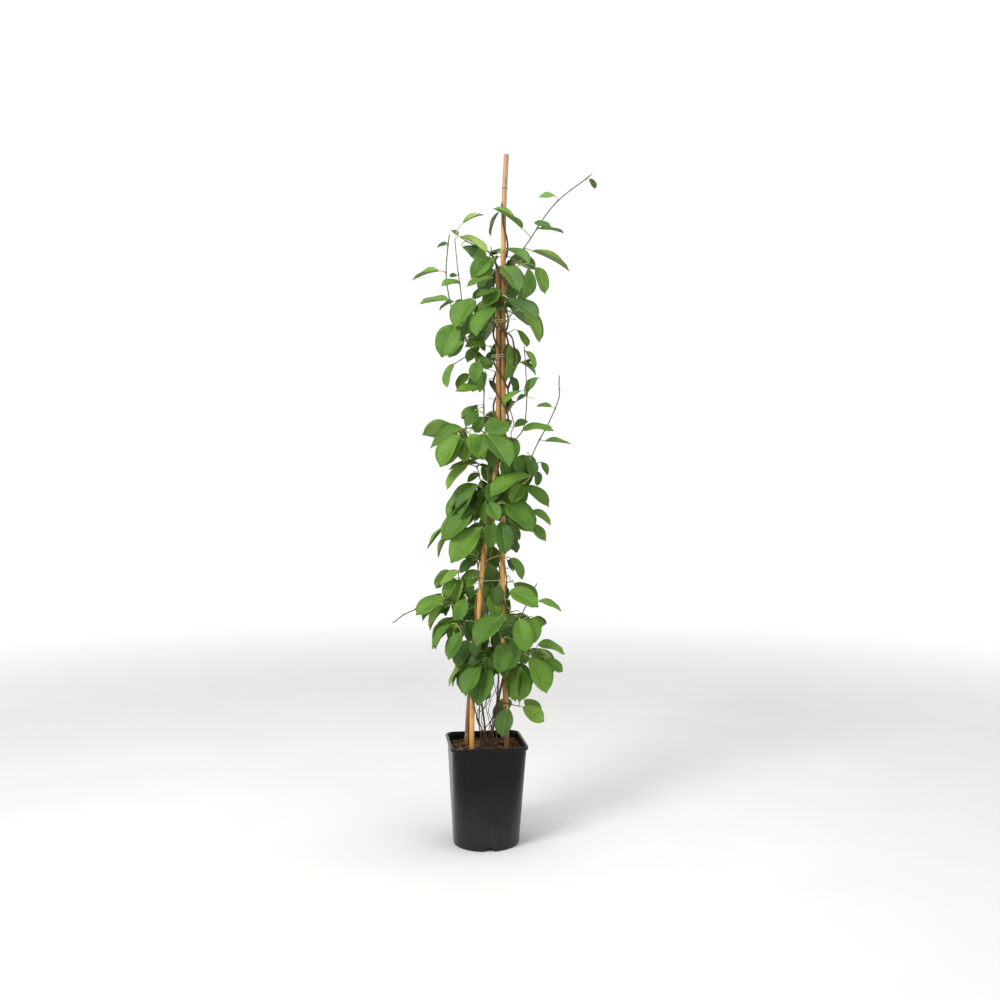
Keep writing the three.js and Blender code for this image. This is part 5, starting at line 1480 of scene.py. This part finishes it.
def bark_chips(count, sizes, name):
    """Ragged flat blocks strewn on the peat, clear of the wall, the canes and the stems."""
    heap = Heap()
    inner = POT_HALF_TOP - POT_WALL - SOIL_CLEARANCE - FROM_WALL
    upright = [(cane_at(cane, SOIL_TOP)[:2], CANES[cane]["radius"] + FROM_CANE) for cane in CANES]
    upright += [(owned[0][1][:2], STEM_RADIUS + FROM_STEM) for owned in STEMS.values()]
    laid = 0
    while laid < count:
        x, y = draw.uniform(-inner, inner, 2)
        half = draw.uniform(*sizes) / 2
        half = half * np.array([1, draw.uniform(*CHIP_WIDTHS), draw.uniform(*CHIP_THICKNESSES)])
        past = np.maximum(np.abs([x, y]) - inner + CHIP_ROUNDING, 0)
        if math.hypot(*past) > CHIP_ROUNDING or past.max() + half[0] > CHIP_ROUNDING:
            continue
        x, y = with_pot(x, y)
        if any(math.dist((x, y), middle) < radius + half[0] for middle, radius in upright):
            continue
        place = [x, y, soil_height(x, y) + half[2] * draw.uniform(*CHIP_LIFTS)]
        corners = CHIP_CORNERS * half * draw.uniform(*CHIP_RAGGEDNESS, (8, 1))
        yaw, tilt, roll = draw.uniform(0, 2 * math.pi), draw.normal(0, CHIP_TILT), draw.normal(0, CHIP_TILT)
        points = corners @ np.array(Euler((roll, tilt, yaw)).to_matrix()).T + place
        colour = BARK_COLOURS[draw.integers(len(BARK_COLOURS))]
        heap.add(points, CHIP_FACES, colour * draw.uniform(*CHIP_SHADES))
        laid += 1
    heap.piece(name, bark_brown, smooth=False)


bark_brown = soil_material("bark_chips", True)
fine_soil()
bark_chips(CHIP_COUNT, CHIP_SIZES, "soil_bark")
bark_chips(CRUMB_COUNT, CRUMB_SIZES, "soil_crumbs")


# Ties: twisted string with a knot and two short ends
STRAND_TURN = 2.4
STRING_STEP = 1.5
STRING_SIDES = 8
KNOT_SIDES = 7
THIN_STRING = 0.6
BUNDLE_STRING = 0.65
FIRST_TURN = 0.02
LAST_TURN = 0.98
TAILS = ((-1, 9), (1, 7))
TAIL_OUT = 4


def string(heap, points, length, radius, sides):
    turns = np.linspace(0, length, len(points)) / STRAND_TURN
    heap.tube(points, radius, sides, np.stack([turns, 0 * turns, 0 * turns], -1))


def knot(heap, place, outward, aside, radius):
    """An overhand knot as a small trefoil."""
    turn = np.linspace(0, 2 * math.pi, 37)[:, None]
    x = 0.7 * (np.sin(turn) + 2 * np.sin(2 * turn))
    y = 0.7 * (np.cos(turn) - 2 * np.cos(2 * turn))
    z = 1.2 - 0.9 * np.sin(3 * turn)
    thin = radius * 0.85
    loops = place + thin * (x * aside + y * np.cross(aside, outward) + z * outward)
    heap.tube(loops, thin, KNOT_SIDES, (0.3, 0, 0))


def fine_tie(name, material, slot, radius, *knots_at):
    line = TIES[name]["line"]
    points = softened(line.even(math.ceil(line.length / STRING_STEP)), 2)
    heap = Heap()
    string(heap, points, line.length, radius, STRING_SIDES)
    for share in knots_at:
        place = points[int(share * (len(points) - 1))]
        outward = away_from_middle(place)
        aside = unit(np.cross(outward, UP))
        knot(heap, place, outward, aside, radius)
        for turn, reach in TAILS:
            end = place + outward * TAIL_OUT + aside * turn * reach * 0.5 - UP * reach
            tail = bow(place + outward * 1.2, place + outward * TAIL_OUT + aside * turn * 2, end)
            string(heap, tail.even(8), tail.length, radius * 0.9, KNOT_SIDES)
    heap.piece(name + "_string", material, name)


green_string = tie_material("string_green", GREEN_STRING_SHADE_AND_COLOUR)
pale_string = tie_material("string_pale", PALE_STRING_SHADE_AND_COLOUR)
fine_tie("tie_upper", green_string, "tie_green", THIN_STRING, FIRST_TURN)
fine_tie("tie_middle", green_string, "tie_green", THIN_STRING, FIRST_TURN)
fine_tie("tie_bundle", pale_string, "tie_pale", BUNDLE_STRING, FIRST_TURN)
fine_tie("tie_lower", green_string, "tie_green", THIN_STRING, FIRST_TURN, LAST_TURN)


# The stage, in metres: a pale plain floor that fades into a white studio, soft light and a camera in front
FLOOR_HALF = 14.0
FLOOR_FADES = (0.9, 3.2)
STUDIO_GLOW = (0.42, 0.75, 1.02, 0.3)
LIT_MIDDLE = Vector((0.03, 0, 0.6))
FILM_WIDTH = 36
VIEW_PIXELS = 1000
FOCAL_PIXELS = 1081
HORIZON_ABOVE = 26
CAMERA_PLACE = (0.0247, -1.904, 0.651)


def lay_floor():
    mesh = bpy.data.meshes.new("floor")
    corners = [(x * FLOOR_HALF, y * FLOOR_HALF, 0) for x, y in ((-1, -1), (1, -1), (1, 1), (-1, 1))]
    mesh.from_pydata(corners, [], [(0, 1, 2, 3)])
    pale = Material("floor_pale")
    pale.coat(pale.ramp(pale.noise(3.0, 2), *FLOOR), 0.8, 0.15)
    from_middle = pale.add("VectorMath", {"operation": "LENGTH"}, _0=pale.place()).outputs["Value"]
    pale.share_with(pale.between(from_middle, *FLOOR_FADES), pale.add("BsdfTransparent"))
    mesh.materials.append(pale.material)
    in_scene("floor", mesh)


def light_studio():
    world = bpy.data.worlds.new("studio")
    world.use_nodes = True
    studio = Nodes(world.node_tree)
    upward = studio.add("SeparateXYZ", _0=studio.add("TexCoord").outputs["Generated"]).outputs[2]
    studio.set(studio.tree.nodes["Background"], _0=(1.0, 1.0, 1.0), _1=studio.between(upward, *STUDIO_GLOW))
    bpy.context.scene.world = world


def area_light(name, place, size, power, colour):
    light = bpy.data.lights.new(name, "AREA")
    light.size = size
    light.energy = power
    light.color = colour
    lamp = in_scene(name, light)
    lamp.location = place
    lamp.rotation_euler = (LIT_MIDDLE - Vector(place)).to_track_quat("-Z", "Y").to_euler()


def set_camera():
    view = bpy.data.cameras.new("camera")
    view.sensor_width = FILM_WIDTH
    view.lens = FILM_WIDTH * FOCAL_PIXELS / VIEW_PIXELS
    camera = in_scene("camera", view)
    camera.location = CAMERA_PLACE
    camera.rotation_euler = (math.pi / 2 - math.atan2(HORIZON_ABOVE, FOCAL_PIXELS), 0, 0)
    bpy.context.scene.camera = camera
    bpy.context.scene.view_settings.view_transform = "Standard"


lay_floor()
light_studio()
area_light("key", (-1.3, -1.7, 2.3), 0.9, 52, (1.0, 0.985, 0.96))
area_light("top", (0.3, -0.1, 2.7), 1.2, 28, (1.0, 1.0, 1.0))
set_camera()
